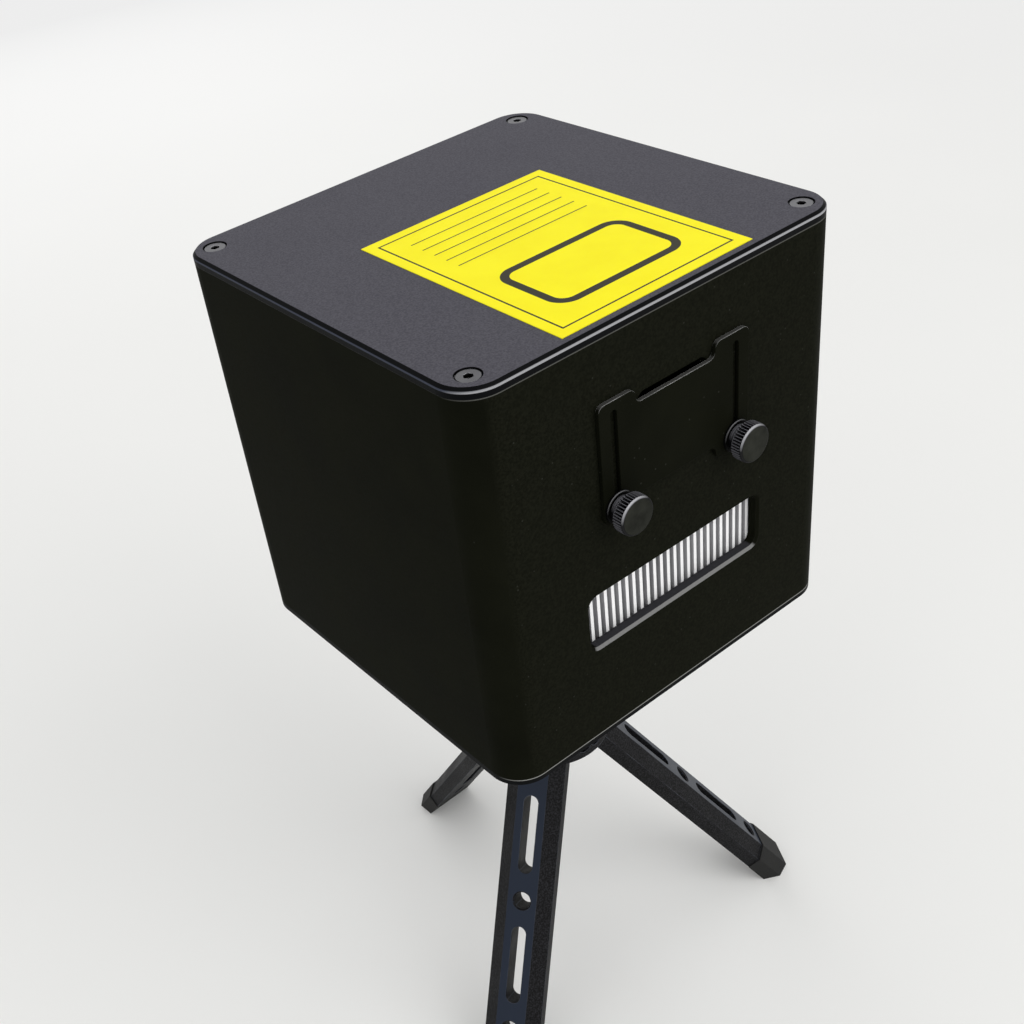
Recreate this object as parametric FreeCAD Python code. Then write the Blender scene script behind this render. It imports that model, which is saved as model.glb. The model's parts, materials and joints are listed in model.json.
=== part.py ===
import FreeCAD, Part
import math
import os

# Laser show projector: a black cube case on a ball head and a folding table tripod.
# Millimetres and degrees. +Z is up and the front of the case, with its vent, faces -Y.

# Case
CASE_WIDTH = 136.0
CASE_DEPTH = 136.0
CASE_HEIGHT = 136.0
CASE_CORNER_R = 11.0
SLEEVE_WALL = 3.5
COVER_THICK = 3.0
COVER_CHAMFER = 1.0
CORNER_SCREW_INSET = 8.0
CORNER_BOSS_R = 5.5
CORNER_SCREW_R = 2.0
CORNER_SCREW_HEAD_R = 3.2
CORNER_SCREW_RECESS_R = 3.7
CORNER_SCREW_HEAD_HEIGHT = 2.1
CORNER_SCREW_SINK = 0.3
CORNER_SCREW_LENGTH = 12.0
CORNER_SCREW_HEX = 2.5
CORNER_SCREW_HEX_DEPTH = 1.4

# Label on the top cover
LABEL_WIDTH = 68.5
LABEL_LENGTH = 85.0
LABEL_THICK = 0.2
LABEL_FRONT_MARGIN = 3.0

# Cooling vent in the front, with the heat sink's fins behind it
VENT_WIDTH = 69.5
VENT_HEIGHT = 18.5
VENT_HEIGHT_SHARE = 0.332
VENT_CORNER_R = 3.0
VENT_CHAMFER = 0.8
FIN_PITCH = 2.83
FIN_THICK = 1.15
FIN_COUNT = 27
FIN_BELOW_VENT = 4.0
FIN_ABOVE_VENT = 2.0
HEAT_SINK_BASE = 4.0
HEAT_SINK_FRONT_GAP = 0.2
HEAT_SINK_FAN_GAP = 9.0

# Scanner aperture and its sliding mask plate
APERTURE_WIDTH = 26.0
APERTURE_HEIGHT = 25.0
APERTURE_HEIGHT_SHARE = 0.73
APERTURE_CORNER_R = 2.5
GLASS_LAP = 4.0
GLASS_THICK = 2.0
GLASS_FRAME_BORDER = 3.0
GLASS_FRAME_THICK = 1.5
MASK_WIDTH = 56.4
MASK_THICK = 1.3
MASK_GAP = 0.1
MASK_ARM_TOP_ABOVE_APERTURE = 3.1
MASK_ARM_HEIGHT = 37.4
MASK_NOTCH_WIDTH = 30.0
MASK_NOTCH_DEPTH = 4.6
MASK_CORNER_R = 2.2
MASK_SLOT_WIDTH = 2.4
MASK_SLOT_SPACING = 46.0
MASK_SLOT_END = 3.0
MASK_TRAVEL = 28.9
MASK_END_CLEARANCE = 0.15
THUMBSCREW_R = 1.0
THUMBSCREW_HEAD_R = 6.25
THUMBSCREW_HEAD_LENGTH = 4.0
THUMBSCREW_BEVEL = 1.0
THUMBSCREW_COLLAR_R = 4.0
THUMBSCREW_COLLAR_LENGTH = 2.5
THUMBSCREW_FLANGE_R = 5.0
THUMBSCREW_FLANGE = 0.8
THUMBSCREW_TIP = 1.5

# Optical bench and what stands on it
BENCH_THICK = 5.0
BENCH_SIDE_GAP = 14.5
BENCH_FRONT_GAP = 3.0
BENCH_POST_R = 4.0
BENCH_POST_INSET = 6.0
BENCH_SCREW_R = 2.0
BENCH_SCREW_HEAD_R = 3.5
BENCH_SCREW_HEAD_HEIGHT = 2.4
BENCH_SCREW_LENGTH = 14.0
SCANNER_SETBACK = 22.0
SCANNER_STEP = 12.0
SCANNER_MOTOR_R = 6.0
SCANNER_MOTOR_LENGTH = 28.0
SCANNER_MOTOR_SETBACK = 8.0
SCANNER_SHAFT_R = 1.2
SCANNER_SHAFT_DEPTH = 10.0
SCANNER_SHAFT_LAP = 1.0
SCANNER_CLAMP_WALL = 1.5
SCANNER_CLAMP_LENGTH = 20.0
SCANNER_CLAMP_INSET = 4.0
SCANNER_FOOT = 4.0
FIRST_MIRROR_SIZE = 8.0
SECOND_MIRROR_LENGTH = 12.0
SECOND_MIRROR_WIDTH = 9.0
SCAN_MIRROR_THICK = 0.8
LASER_WIDTH = 11.0
LASER_LENGTH = 40.0
LASER_PITCH = 12.5
LASER_ABOVE_BEAM = 8.0
LASER_PORT_R = 2.5
LASER_PORT_DEPTH = 3.0
LASER_FIRST_X = 13.0
LASER_MIRROR_GAP = 12.0
COMBINER_WIDTH = 9.0
COMBINER_HEIGHT = 10.0
COMBINER_THICK = 1.1
COMBINER_POST_THICK = 3.0

# Circuit boards
BOARD_THICK = 1.6
STANDOFF_R = 3.0
BOARD_SCREW_R = 1.5
BOARD_SCREW_HEAD_R = 2.7
BOARD_SCREW_HEAD_HEIGHT = 1.8
BOARD_SCREW_LENGTH = 6.0
BOARD_HOLE_INSET = 4.0
CHIP_HEIGHT = 2.5
CHIP_LENGTH = 9.0
CHIP_WIDTH = 18.0
DRIVER_CHIP_COUNT = 4
CONTROL_CHIP_COUNT = 3
DRIVER_BOARD_END_GAP = 13.5
DRIVER_BOARD_TOP_GAP = 14.6
DRIVER_STANDOFF = 8.0
DRIVER_BOARD_LIFT = 3.0
CONTROL_BOARD_SIDE_GAP = 9.5
CONTROL_BOARD_TOP_GAP = 11.0
CONTROL_STANDOFF = 16.0
CONTROL_BOARD_ABOVE_FAN = 4.0

# Fan, guard and rear sockets
FAN_SIZE = 60.0
FAN_THICK = 15.0
FAN_CORNER_R = 4.0
FAN_BORE_R = 28.5
FAN_HEIGHT_SHARE = 0.31
FAN_HOLE_SPACING = 50.0
FAN_SCREW_R = 2.0
FAN_SCREW_HEAD_R = 3.6
FAN_SCREW_HEAD_HEIGHT = 2.4
FAN_SCREW_LENGTH = 18.0
FAN_STATOR_THICK = 3.0
FAN_STRUT_WIDTH = 4.4
FAN_STRUT_ROOT = 0.5
FAN_ROTOR_GAP = 0.5
FAN_HUB_R = 11.0
FAN_BLADE_COUNT = 7
FAN_BLADE_CHORD = 12.0
FAN_BLADE_THICK = 1.2
FAN_BLADE_ANGLE = 40.0
FAN_BLADE_GAP = 1.0
FAN_ROTOR_LENGTH = 10.0
FAN_SHAFT_R = 1.5
GUARD_WIRE_R = 0.8
GUARD_RING_COUNT = 4
GUARD_RING_STEP = 6.6
GUARD_WELD = 0.32
GUARD_SPOKE_PAST_RING = 1.2
SOCKET_ROW_HEIGHT_SHARE = 0.68
SCAN_SOCKET_GAP = 3.25
SCAN_SOCKET_WIDTH = 53.0
SCAN_SOCKET_HEIGHT = 12.5
SCAN_SOCKET_FLANGE = 1.0
SCAN_SHELL_WIDTH = 38.5
SCAN_SHELL_HEIGHT = 8.2
SCAN_SHELL_PROUD = 5.5
SCAN_SHELL_CORNER_R = 2.0
SCAN_PIN_COUNT = 13
SCAN_PIN_R = 0.55
SCAN_PIN_PITCH = 2.76
SCAN_PIN_ROW = 2.84
SCAN_PIN_DEPTH = 4.0
SCAN_JACK_SPACING = 47.0
SCAN_JACK_R = 2.6
SCAN_JACK_PROUD = 4.5
SCAN_JACK_STUD_R = 1.4
DATA_SOCKET_X = -6.0
DATA_SOCKET_PITCH = 20.0
DATA_SOCKET_WIDTH = 16.0
DATA_SOCKET_HEIGHT = 13.5
DATA_SOCKET_PROUD = 0.6
DATA_PORT_WIDTH = 11.8
DATA_PORT_HEIGHT = 8.2
DATA_PORT_DEPTH = 11.0
POWER_JACK_X = 42.0
POWER_JACK_FLANGE_R = 7.0
POWER_JACK_FLANGE = 1.6
POWER_JACK_R = 5.5
POWER_JACK_LENGTH = 11.0
POWER_JACK_BORE_R = 3.2
POWER_JACK_BORE_DEPTH = 9.0
POWER_JACK_PIN_R = 1.25
POWER_JACK_PIN_SETBACK = 1.0
SWITCH_X = 26.0
SWITCH_BEZEL_WIDTH = 15.0
SWITCH_BEZEL_HEIGHT = 21.0
SWITCH_BEZEL = 1.8
SWITCH_WIDTH = 13.0
SWITCH_HEIGHT = 19.0
SWITCH_LENGTH = 12.5
SWITCH_POCKET_WIDTH = 10.0
SWITCH_POCKET_HEIGHT = 17.4
SWITCH_POCKET_DEPTH = 7.2
ROCKER_SIDE_GAP = 0.3
ROCKER_HEIGHT = 15.2
ROCKER_BELOW_PIVOT = 3.0
ROCKER_ABOVE_PIVOT = 3.6
ROCKER_PIVOT_DEPTH = 0.8
ROCKER_PIN_R = 1.0
ROCKER_PIN_LENGTH = 1.0
ROCKER_TILT_ANGLE = 9.0
ROCKER_SCOOP_R = 24.3
ROCKER_SCOOP_DEPTH = 1.7
KEY_SWITCH_X = -38.0
KEY_FLANGE_R = 9.5
KEY_FLANGE = 2.0
KEY_BODY_R = 8.0
KEY_BODY_LENGTH = 13.0
KEY_BARREL_R = 6.0
KEY_BARREL_LENGTH = 9.0
KEY_BARREL_PROUD = 0.6
KEY_SLOT_WIDTH = 1.8
KEY_SLOT_HEIGHT = 7.0
KEY_SLOT_DEPTH = 5.0

# Screw socket in the bottom cover and the ball head
STUD_R = 3.1
STUD_ENGAGEMENT = 6.0
BUSH_R = 5.5
BUSH_FLANGE_R = 8.0
BUSH_FLANGE = 2.0
BUSH_LENGTH = 9.0
HEAD_PLATE_R = 19.0
HEAD_PLATE_THICK = 6.5
HEAD_PLATE_CHAMFER = 1.0
PAD_THICK = 1.5
PAD_MARGIN = 1.0
PAD_BORE_R = 6.0
BALL_R = 11.5
BALL_GAP = 0.3
STEM_R = 4.5
STEM_LENGTH = 20.3
STEM_BORE_DEPTH = 8.0
HOUSING_R = 18.0
HOUSING_FLOOR = 5.1
HOUSING_ABOVE_BALL = 6.0
HOUSING_CHAMFER = 1.2
LOCK_SCREW_R = 2.5
LOCK_KNOB_R = 9.0
LOCK_KNOB_LENGTH = 16.0
LOCK_KNOB_GAP = 1.0
LOCK_KNOB_LOBES = 6
LOCK_KNOB_LOBE_R = 2.4
LOCK_KNOB_LOBE_OUT = 0.8
PAN_GAP = 0.1

# Tripod
HUB_R = 21.5
HUB_HEIGHT = 20.0
HUB_BELOW_PIVOT = 4.6
HUB_CHAMFER = 1.5
PAN_BOLT_R = 3.0
PAN_BOLT_HEAD_R = 5.0
PAN_BOLT_HEAD_HEIGHT = 4.5
PAN_BOLT_ENGAGEMENT = 4.3
LEG_NAMES = ("left", "right", "rear")
LEG_FIRST_ANGLE = -148.7
LEG_SPLAY_ANGLE = 33.9
LEG_LENGTH = 132.0
LEG_WIDTH = 21.5
LEG_FACE_WIDTH = 11.2
LEG_THICK = 9.3
LEG_BEVEL_DEPTH = 3.9
LEG_PIVOT_R = 13.0
LEG_CLEARANCE = 0.3
LEG_PIN_R = 2.0
LEG_PIN_REACH = 15.2
LEG_SLOT_WIDTH = 5.5
LEG_SLOT_START = 20.2
LEG_SLOT_SPACING = 20.4
LEG_HOLE_R = 3.175
LEG_HOLE_FROM_SLOT = 10.5
LEG_HOLE_END_MARGIN = 6.7
LEG_HOLE_CHAMFER = 0.5
FOOT_LENGTH = 15.0
FOOT_LIP = 0.5
FOOT_SPIGOT_LENGTH = 7.0
FOOT_SPIGOT_WIDTH = 10.0
FOOT_SPIGOT_THICK = 4.4

# Clearances
RUNNING = 0.05
SEAT = 0.1
OVERCUT = 1.0
NEARLY = 0.999

# Values worked out from the driving dimensions, in the case's own heights; a share is of the case's height
half_width = CASE_WIDTH / 2
front_y = -CASE_DEPTH / 2
rear_y = CASE_DEPTH / 2
inner_x = half_width - SLEEVE_WALL
inner_front_y = front_y + SLEEVE_WALL
inner_rear_y = rear_y - SLEEVE_WALL
sleeve_top = CASE_HEIGHT - COVER_THICK
corner_x = half_width - CORNER_SCREW_INSET
corner_y = CASE_DEPTH / 2 - CORNER_SCREW_INSET
corners = [(x, y) for x in (-corner_x, corner_x) for y in (-corner_y, corner_y)]
vent_z = CASE_HEIGHT * VENT_HEIGHT_SHARE
aperture_z = CASE_HEIGHT * APERTURE_HEIGHT_SHARE
fan_z = CASE_HEIGHT * FAN_HEIGHT_SHARE
socket_row_z = CASE_HEIGHT * SOCKET_ROW_HEIGHT_SHARE
scan_socket_z = socket_row_z + SWITCH_BEZEL_HEIGHT / 2 + SCAN_SOCKET_GAP + SCAN_SOCKET_HEIGHT / 2
fan_front_y = inner_rear_y - FAN_THICK
fin_top = vent_z + VENT_HEIGHT / 2 + FIN_ABOVE_VENT
fin_bottom = vent_z - VENT_HEIGHT / 2 - FIN_BELOW_VENT
bench_bottom = fin_top + HEAT_SINK_BASE
bench_top = bench_bottom + BENCH_THICK
bench_front_y = inner_front_y + BENCH_FRONT_GAP
bench_rear_y = fan_front_y - HEAT_SINK_FAN_GAP
bench_half = inner_x - BENCH_SIDE_GAP
scanner_y = inner_front_y + SCANNER_SETBACK
exit_z = aperture_z
beam_z = exit_z - SCANNER_STEP
mask_top = aperture_z + APERTURE_HEIGHT / 2 + MASK_ARM_TOP_ABOVE_APERTURE
mask_bottom = mask_top - MASK_ARM_HEIGHT
mask_back_y = front_y - MASK_GAP
mask_front_y = mask_back_y - MASK_THICK
slot_low = mask_bottom + MASK_SLOT_END + MASK_SLOT_WIDTH / 2
thumbscrew_z = slot_low + MASK_END_CLEARANCE
slot_high = thumbscrew_z + MASK_TRAVEL + MASK_END_CLEARANCE
thumbscrew_x = MASK_SLOT_SPACING / 2
control_y = inner_rear_y - CONTROL_STANDOFF
control_z = fan_z + FAN_SIZE / 2 + CONTROL_BOARD_ABOVE_FAN
control_height = sleeve_top - CONTROL_BOARD_TOP_GAP - control_z
control_half = inner_x - CONTROL_BOARD_SIDE_GAP
driver_z = bench_top + DRIVER_BOARD_LIFT
driver_height = sleeve_top - DRIVER_BOARD_TOP_GAP - driver_z
driver_length = bench_rear_y - bench_front_y - 2 * DRIVER_BOARD_END_GAP

# Heights above the ground
splay = math.radians(LEG_SPLAY_ANGLE)
pivot_z = LEG_LENGTH * math.cos(splay)
hub_bottom = pivot_z - HUB_BELOW_PIVOT
hub_top = hub_bottom + HUB_HEIGHT
housing_bottom = hub_top + PAN_GAP
ball_z = housing_bottom + HOUSING_FLOOR + BALL_GAP + BALL_R
plate_bottom = ball_z + STEM_LENGTH
plate_top = plate_bottom + HEAD_PLATE_THICK
case_base = plate_top + PAD_THICK
leg_half = LEG_THICK / 2
leg_angles = {name: LEG_FIRST_ANGLE + 360.0 * i / len(LEG_NAMES) for i, name in enumerate(LEG_NAMES)}
foot_top = LEG_LENGTH - FOOT_LENGTH
leg_pattern = foot_top - LEG_HOLE_END_MARGIN - LEG_SLOT_START - LEG_SLOT_SPACING - LEG_HOLE_FROM_SLOT
leg_slot_length = leg_pattern / 2
leg_row_pitch = leg_slot_length + LEG_SLOT_SPACING

X = FreeCAD.Vector(1, 0, 0)
Y = FreeCAD.Vector(0, 1, 0)
Z = FreeCAD.Vector(0, 0, 1)


def at(x, y, z):
    return FreeCAD.Vector(x, y, z)


def block(x0, x1, y0, y1, z0, z1):
    return Part.makeBox(x1 - x0, y1 - y0, z1 - z0, at(x0, y0, z0))


def rod(radius, start, end):
    along = end.sub(start)
    return Part.makeCylinder(radius, along.Length, start, along)


def cone(r_start, r_end, start, end):
    along = end.sub(start)
    return Part.makeCone(r_start, r_end, along.Length, start, along)


def parallel_edges(solid, axis):
    lines = [e for e in solid.Edges if e.Curve.TypeId == "Part::GeomLine"]
    return [e for e in lines if abs(e.tangentAt(e.FirstParameter).dot(axis)) > NEARLY]


def round_edges(solid):
    return [e for e in solid.Edges if e.Curve.TypeId == "Part::GeomCircle"]


def soft_block(x0, x1, y0, y1, z0, z1, radius, axis):
    solid = block(x0, x1, y0, y1, z0, z1)
    return solid.makeFillet(radius, parallel_edges(solid, axis))


def prism(points, along):
    wire = Part.makePolygon(points + points[:1])
    return Part.Face(wire).extrude(along)


def joined(shapes):
    return shapes[0].multiFuse(shapes[1:]).removeSplitter()


def cut(solid, tools):
    return solid.cut(tools).removeSplitter()


def turned(shape, centre, axis, angle):
    copy = shape.copy()
    copy.rotate(centre, axis, angle)
    return copy


def hexagon(flats, centre, height):
    reach = flats / math.sqrt(3)
    angles = [math.radians(60 * i) for i in range(6)]
    points = [centre.add(at(reach * math.cos(a), reach * math.sin(a), 0)) for a in angles]
    return prism(points, Z * height)


# Case shell

def case_sleeve():
    outside = soft_block(-half_width, half_width, front_y, rear_y, COVER_THICK, sleeve_top, CASE_CORNER_R, Z)
    inside = soft_block(-inner_x, inner_x, inner_front_y, inner_rear_y, COVER_THICK, sleeve_top,
                        max(CASE_CORNER_R - SLEEVE_WALL, SEAT), Z)
    bosses = [rod(CORNER_BOSS_R, at(x, y, COVER_THICK), at(x, y, sleeve_top)) for x, y in corners]
    shell = joined([outside.cut(inside)] + bosses).common(outside)
    holes = []
    for x, y in corners:
        for z, way in ((COVER_THICK, 1), (sleeve_top, -1)):
            holes.append(rod(CORNER_SCREW_R + RUNNING, at(x, y, z), at(x, y, z + way * CORNER_SCREW_LENGTH)))
    return cut(shell, holes + front_openings() + rear_openings())


def chamfered_window(width, height, centre_z, radius, chamfer):
    x = width / 2
    z = height / 2
    through = soft_block(-x, x, front_y - OVERCUT, inner_front_y + OVERCUT,
                         centre_z - z, centre_z + z, radius, Y)
    mouth = soft_block(-x - chamfer, x + chamfer, front_y - chamfer, front_y + chamfer,
                       centre_z - z - chamfer, centre_z + z + chamfer, radius + chamfer, Y)
    rim = [e for e in mouth.Edges if e.BoundBox.YMin > front_y + chamfer / 2]
    return through.fuse(mouth.makeChamfer(chamfer * NEARLY, rim))


def front_openings():
    vent = chamfered_window(VENT_WIDTH, VENT_HEIGHT, vent_z, VENT_CORNER_R, VENT_CHAMFER)
    aperture = soft_block(-APERTURE_WIDTH / 2, APERTURE_WIDTH / 2, front_y - OVERCUT, inner_front_y + OVERCUT,
                          aperture_z - APERTURE_HEIGHT / 2, aperture_z + APERTURE_HEIGHT / 2,
                          APERTURE_CORNER_R, Y)
    screws = []
    for x in (-thumbscrew_x, thumbscrew_x):
        outside = at(x, front_y - OVERCUT, thumbscrew_z)
        screws.append(rod(THUMBSCREW_R + RUNNING, outside, at(x, inner_front_y + OVERCUT, thumbscrew_z)))
    return [vent, aperture] + screws


def through_rear(radius, x, z):
    return rod(radius, at(x, inner_rear_y - OVERCUT, z), at(x, rear_y + OVERCUT, z))


def slot_rear(width, height, x, z):
    return block(x - width / 2, x + width / 2, inner_rear_y - OVERCUT, rear_y + OVERCUT,
                 z - height / 2, z + height / 2)


def rear_openings():
    openings = [through_rear(FAN_BORE_R, 0, fan_z)]
    openings += [through_rear(FAN_SCREW_R + RUNNING, x, z) for x, z in fan_holes()]
    openings.append(slot_rear(SCAN_SHELL_WIDTH + 2 * SEAT, SCAN_SHELL_HEIGHT + 2 * SEAT, 0, scan_socket_z))
    openings += [through_rear(SCAN_JACK_STUD_R + RUNNING, x, scan_socket_z) for x in scan_jacks()]
    openings += [slot_rear(DATA_SOCKET_WIDTH + 2 * SEAT, DATA_SOCKET_HEIGHT + 2 * SEAT, x, socket_row_z)
                 for x in data_socket_places()]
    openings.append(through_rear(POWER_JACK_R + SEAT, POWER_JACK_X, socket_row_z))
    openings.append(slot_rear(SWITCH_WIDTH + 2 * SEAT, SWITCH_HEIGHT + 2 * SEAT, SWITCH_X, socket_row_z))
    openings.append(through_rear(KEY_BODY_R + SEAT, KEY_SWITCH_X, socket_row_z))
    return openings


def cover(edge_z, way):
    # way is +1 for the top cover, whose outer face looks up, and -1 for the bottom one
    low = min(edge_z, edge_z - way * COVER_THICK)
    plate = soft_block(-half_width, half_width, front_y, rear_y, low, low + COVER_THICK, CASE_CORNER_R, Z)
    rim = [e for e in plate.Edges if max(abs(v.Z - edge_z) for v in e.Vertexes) < 1e-6]
    plate = plate.makeChamfer(COVER_CHAMFER, rim)
    seat_z = edge_z - way * (CORNER_SCREW_SINK + CORNER_SCREW_HEAD_HEIGHT)
    holes = []
    for x, y in corners:
        outside = at(x, y, edge_z + way)
        holes.append(rod(CORNER_SCREW_R + RUNNING, outside, at(x, y, edge_z - way * (COVER_THICK + OVERCUT))))
        holes.append(rod(CORNER_SCREW_RECESS_R, outside, at(x, y, seat_z)))
    return cut(plate, holes)


def cover_screws(edge_z, way):
    head_z = edge_z - way * CORNER_SCREW_SINK
    seat_z = head_z - way * CORNER_SCREW_HEAD_HEIGHT
    screws = []
    for x, y in corners:
        head = rod(CORNER_SCREW_HEAD_R, at(x, y, seat_z), at(x, y, head_z))
        shank_end = seat_z - way * (CORNER_SCREW_LENGTH - COVER_THICK)
        shank = rod(CORNER_SCREW_R, at(x, y, seat_z), at(x, y, shank_end))
        socket_low = min(head_z, head_z - way * CORNER_SCREW_HEX_DEPTH)
        socket = hexagon(CORNER_SCREW_HEX, at(x, y, socket_low), CORNER_SCREW_HEX_DEPTH)
        screws.append(cut(joined([head, shank]), [socket]))
    return Part.Compound(screws)


def bottom_cover():
    plate = cover(0, -1)
    return cut(plate, [rod(BUSH_R + RUNNING, at(0, 0, -OVERCUT), at(0, 0, COVER_THICK + OVERCUT))])


def tripod_bush():
    body = rod(BUSH_R, at(0, 0, 0), at(0, 0, BUSH_LENGTH))
    flange = rod(BUSH_FLANGE_R, at(0, 0, COVER_THICK), at(0, 0, COVER_THICK + BUSH_FLANGE))
    bore = rod(STUD_R + RUNNING, at(0, 0, -OVERCUT), at(0, 0, BUSH_LENGTH + OVERCUT))
    return cut(joined([body, flange]), [bore])


def top_label():
    label_y = front_y + LABEL_FRONT_MARGIN
    return block(-LABEL_WIDTH / 2, LABEL_WIDTH / 2, label_y, label_y + LABEL_LENGTH,
                 CASE_HEIGHT, CASE_HEIGHT + LABEL_THICK)


# Mask plate and thumbscrews

def mask_plate():
    x = MASK_WIDTH / 2
    plate = block(-x, x, mask_front_y, mask_back_y, mask_bottom, mask_top)
    notch = MASK_NOTCH_WIDTH / 2
    y0 = mask_front_y - OVERCUT
    y1 = mask_back_y + OVERCUT
    upper = block(-notch, notch, y0, y1, mask_top - MASK_NOTCH_DEPTH, mask_top + OVERCUT)
    lower = block(-notch, notch, y0, y1, mask_bottom - OVERCUT, mask_bottom + MASK_NOTCH_DEPTH)
    plate = plate.cut([upper, lower])
    plate = plate.makeFillet(MASK_CORNER_R, parallel_edges(plate, Y))
    slots = []
    for slot_x in (-thumbscrew_x, thumbscrew_x):
        half = MASK_SLOT_WIDTH / 2
        slots.append(block(slot_x - half, slot_x + half, y0, y1, slot_low, slot_high))
        for end_z in (slot_low, slot_high):
            slots.append(rod(half, at(slot_x, y0, end_z), at(slot_x, y1, end_z)))
    return cut(plate, [slots[0].multiFuse(slots[1:])])


def thumbscrew(x):
    flange_y = mask_front_y - SEAT
    collar_y = flange_y - THUMBSCREW_FLANGE
    head_y = collar_y - THUMBSCREW_COLLAR_LENGTH
    face_y = head_y - THUMBSCREW_HEAD_LENGTH
    tip_y = inner_front_y + THUMBSCREW_TIP
    flange = rod(THUMBSCREW_FLANGE_R, at(x, flange_y, thumbscrew_z), at(x, collar_y, thumbscrew_z))
    collar = rod(THUMBSCREW_COLLAR_R, at(x, collar_y, thumbscrew_z), at(x, head_y, thumbscrew_z))
    head = rod(THUMBSCREW_HEAD_R, at(x, head_y, thumbscrew_z), at(x, face_y, thumbscrew_z))
    head = head.makeChamfer(THUMBSCREW_BEVEL, round_edges(head))
    shank = rod(THUMBSCREW_R, at(x, flange_y, thumbscrew_z), at(x, tip_y, thumbscrew_z))
    return joined([head, collar, flange, shank])


# Aperture glass, heat sink and bench

def aperture_glass():
    x = APERTURE_WIDTH / 2 + GLASS_LAP
    z = APERTURE_HEIGHT / 2 + GLASS_LAP
    return block(-x, x, inner_front_y, inner_front_y + GLASS_THICK, exit_z - z, exit_z + z)


def glass_frame():
    x = APERTURE_WIDTH / 2 + GLASS_LAP
    z = APERTURE_HEIGHT / 2 + GLASS_LAP
    border = GLASS_FRAME_BORDER
    back_y = inner_front_y + GLASS_THICK + GLASS_FRAME_THICK
    outer = block(-x - border, x + border, inner_front_y, back_y, exit_z - z - border, exit_z + z + border)
    pocket = block(-x - SEAT, x + SEAT, inner_front_y - OVERCUT, inner_front_y + GLASS_THICK,
                   exit_z - z - SEAT, exit_z + z + SEAT)
    sight = block(-APERTURE_WIDTH / 2 - SEAT, APERTURE_WIDTH / 2 + SEAT, inner_front_y, back_y + OVERCUT,
                  exit_z - APERTURE_HEIGHT / 2 - SEAT, exit_z + APERTURE_HEIGHT / 2 + SEAT)
    return cut(outer, [pocket, sight])


def heat_sink():
    span = (FIN_COUNT - 1) * FIN_PITCH
    y0 = inner_front_y + HEAT_SINK_FRONT_GAP
    half = span / 2 + FIN_THICK / 2
    base = block(-half, half, y0, bench_rear_y, fin_top, bench_bottom)
    fins = []
    for i in range(FIN_COUNT):
        x = i * FIN_PITCH - span / 2
        fins.append(block(x - FIN_THICK / 2, x + FIN_THICK / 2, y0, bench_rear_y, fin_bottom, fin_top))
    return joined([base] + fins)


def bench_post_places():
    x = bench_half - BENCH_POST_INSET
    rows = (bench_front_y + BENCH_POST_INSET, bench_rear_y - BENCH_POST_INSET)
    return [(side, y) for side in (-x, x) for y in rows]


def optical_bench():
    plate = block(-bench_half, bench_half, bench_front_y, bench_rear_y, bench_bottom, bench_top)
    holes = [rod(BENCH_SCREW_R + RUNNING, at(x, y, bench_bottom - OVERCUT), at(x, y, bench_top + OVERCUT))
             for x, y in bench_post_places()]
    return cut(plate, holes)


def bench_posts():
    depth = BENCH_SCREW_LENGTH - BENCH_THICK + OVERCUT
    posts = []
    for x, y in bench_post_places():
        top = at(x, y, bench_bottom)
        post = rod(BENCH_POST_R, at(x, y, COVER_THICK), top)
        posts.append(cut(post, [rod(BENCH_SCREW_R + RUNNING, at(x, y, bench_bottom - depth), top)]))
    return Part.Compound(posts)


def bench_screws():
    screws = []
    for x, y in bench_post_places():
        head = rod(BENCH_SCREW_HEAD_R, at(x, y, bench_top), at(x, y, bench_top + BENCH_SCREW_HEAD_HEIGHT))
        shank = rod(BENCH_SCREW_R, at(x, y, bench_top - BENCH_SCREW_LENGTH), at(x, y, bench_top))
        screws.append(joined([head, shank]))
    return Part.Compound(screws)


# Lasers, combining mirrors and scanner

def laser_x(index):
    return -LASER_FIRST_X - index * LASER_PITCH


def laser_module(index):
    x = laser_x(index)
    y0 = scanner_y + LASER_MIRROR_GAP
    body = block(x - LASER_WIDTH / 2, x + LASER_WIDTH / 2, y0, y0 + LASER_LENGTH,
                 bench_top, beam_z + LASER_ABOVE_BEAM)
    return cut(body, [rod(LASER_PORT_R, at(x, y0 - OVERCUT, beam_z), at(x, y0 + LASER_PORT_DEPTH, beam_z))])


def combiner_mirror(index):
    x = laser_x(index)
    low = beam_z - COMBINER_HEIGHT / 2
    plate = block(x - COMBINER_THICK, x, scanner_y - COMBINER_WIDTH / 2, scanner_y + COMBINER_WIDTH / 2,
                  low, low + COMBINER_HEIGHT)
    return turned(plate, at(x, scanner_y, 0), Z, 45)


def mirror_posts():
    posts = []
    for index in range(3):
        x = laser_x(index)
        middle = x - COMBINER_THICK / 2
        post = block(middle - COMBINER_POST_THICK / 2, middle + COMBINER_POST_THICK / 2,
                     scanner_y - COMBINER_WIDTH / 2, scanner_y + COMBINER_WIDTH / 2,
                     bench_top, beam_z - COMBINER_HEIGHT / 2)
        posts.append(turned(post, at(x, scanner_y, 0), Z, 45))
    return Part.Compound(posts)


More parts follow.
